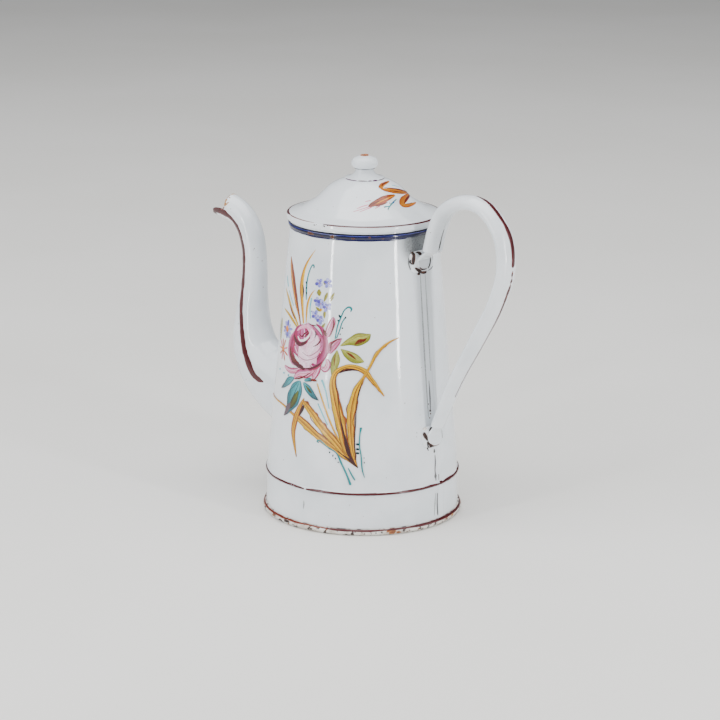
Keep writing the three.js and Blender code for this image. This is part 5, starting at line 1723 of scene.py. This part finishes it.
def paint_chips():
    """Chips and dirt round the tabs, on the rims and along the seams, with painted shade of the handle down
    the seam under it and painted highlights on the lower pad.
    """
    chips = Paint("pot_chips_dirt_and_painted_light", "pot", chip_look, 1.15)
    for face, marks, spots, level in (
        (wall_face, SEAM_DIRT_AND_SHADE, (), 0), (band_face, LAP_DIRT, (), 0), (bead_face, (), BEAD_CHIPS, 0),
        (foot_face, (), FOOT_CHIPS, 0),
        (pad_face(HIGH_TAB, HIGH_PAD), UPPER_TAB_WEAR, UPPER_TAB_CHIPS, PAD_CLEAR),
        (pad_face(LOW_TAB, LOW_PAD), LOWER_TAB_WEAR_AND_HIGHLIGHTS, LOWER_TAB_CHIPS, PAD_CLEAR),
        (tongue_face(HIGH_TAB), TONGUE_WEAR, (), TONGUE_CLEAR),
    ):
        chips.level, chips.step = level, THIN_LAYER
        strokes(chips, face, marks)
        chips.step = THIN_LAYER
        for spot in spots:
            chips.chip(face, *spot)
    chips.level = 0.0
    for k in range(SMALL_CHIPS):
        u, v, wide = rng.uniform(*SMALL_ROUND), rng.uniform(*SMALL_ON_ROLL), rng.uniform(*SMALL_SIZE)
        tall = wide * rng.uniform(*SMALL_FLAT)
        chips.chip(foot_face, u, v, wide, tall, SMALL_TONES[k % len(SMALL_TONES)])
    chips.done()

    lid = Paint("lid_chips", "lid", chip_look, 1.15)
    for u, back, wide, tall in RIM_CHIPS:
        lid.chip(rim_face, u, rim_edge - back, wide, tall, BARE)
    lid.done()


paint_wall()
paint_lid()
paint_lines()
paint_spout()
paint_handle()
paint_chips()

# Stage

FLOOR_HALF, FLOOR_PALE, FLOOR_SHADE = 12.0, (232, 231, 228), (228, 227, 223)
OVERHEAD_SIZE, OVERHEAD_HEIGHT, OVERHEAD_POWER = 2.4, 2.3, 78.0
# Panels of light: degrees round from the camera's side, distance, lowest and highest point and width in
# metres, power in watts, and how far below its own height the panel aims.
PANELS = [
    ("left_strip", -47, 1.0, 0.02, 0.75, 0.045, 5.0, 0.0),
    ("right_strip", 47, 1.0, 0.02, 0.75, 0.06, 6.5, 0.0),
    ("key_cloud", -70, 2.4, 0.6, 2.6, 2.2, 42.0, 0.9),
    ("fill_cloud", 80, 2.6, 0.5, 2.5, 2.2, 24.0, 0.8),
]
WORLD_COLOUR, WORLD_STRENGTH = (0.62, 0.63, 0.65, 1), 0.42
# The camera, in mm from the pot's axis. Its right and up are given before the turn to its side.
CAMERA_AT, CAMERA_LENS, CAMERA_SENSOR, CAMERA_TURN = (-1136.9, 1262.6, 569.8), 122.3, 36.0, -138.0
CAMERA_RIGHT, CAMERA_UP = (0.99996869, 0.00332526, 0.00718004), (-0.00780013, 0.2617582, 0.96510197)


def floor():
    """A plain pale ground."""
    mesh = bpy.data.meshes.new("floor")
    corners = [(x * FLOOR_HALF, y * FLOOR_HALF, 0) for x, y in ((-1, -1), (1, -1), (1, 1), (-1, 1))]
    mesh.from_pydata(corners, [], [(0, 1, 2, 3)])
    look, tree, shader = new_material("pale_floor", Roughness=0.6)
    shade = mixed(tree, band(tree, noise(tree, 3, 3), 0.3, 0.7), rgba(*FLOOR_PALE), rgba(*FLOOR_SHADE))
    tree.links.new(shade, shader.inputs["Base Color"])
    mesh.materials.append(look)
    made = put("floor", mesh)


def lamp(name, azimuth, distance, low, high, width, power, tilt):
    """A soft upright panel that faces the pot."""
    data = bpy.data.lights.new(name, "AREA")
    data.shape, data.size, data.size_y, data.energy = "RECTANGLE", width, high - low, power
    turn = math.radians(CAMERA_SIDE + azimuth)
    at = Vector((AXIS * MM + distance * math.cos(turn), distance * math.sin(turn), (low + high) / 2))
    aim = Vector((AXIS * MM, 0, at.z - tilt))
    made = put(name, data)
    made.location = at
    made.rotation_euler = (aim - at).to_track_quat("-Z", "Y").to_euler()


def overhead():
    """A soft panel above, which brightens the lid and the floor."""
    data = bpy.data.lights.new("overhead_panel", "AREA")
    data.shape, data.size, data.energy = "SQUARE", OVERHEAD_SIZE, OVERHEAD_POWER
    put("overhead_panel", data).location = (0.0, 0.0, OVERHEAD_HEIGHT)


def camera():
    data = bpy.data.cameras.new("camera")
    data.lens, data.sensor_width, data.sensor_fit = CAMERA_LENS, CAMERA_SENSOR, "HORIZONTAL"
    turn = Matrix.Rotation(math.radians(CAMERA_TURN), 3, "Z")
    right, up = turn @ Vector(CAMERA_RIGHT), turn @ Vector(CAMERA_UP)
    axes = Matrix((right, up, right.cross(up))).transposed().to_4x4()
    x, y, z = CAMERA_AT
    made = put("camera", data)
    made.matrix_world = Matrix.Translation(Vector((AXIS + x, y, z)) * MM) @ axes
    bpy.context.scene.camera = made


def surroundings():
    """An even grey world."""
    world = bpy.data.worlds.new("studio")
    bpy.context.scene.world = world
    world.use_nodes = True
    inputs = world.node_tree.nodes["Background"].inputs
    inputs["Color"].default_value, inputs["Strength"].default_value = WORLD_COLOUR, WORLD_STRENGTH


floor()
camera()
for panel in PANELS:
    lamp(*panel)
overhead()
surroundings()
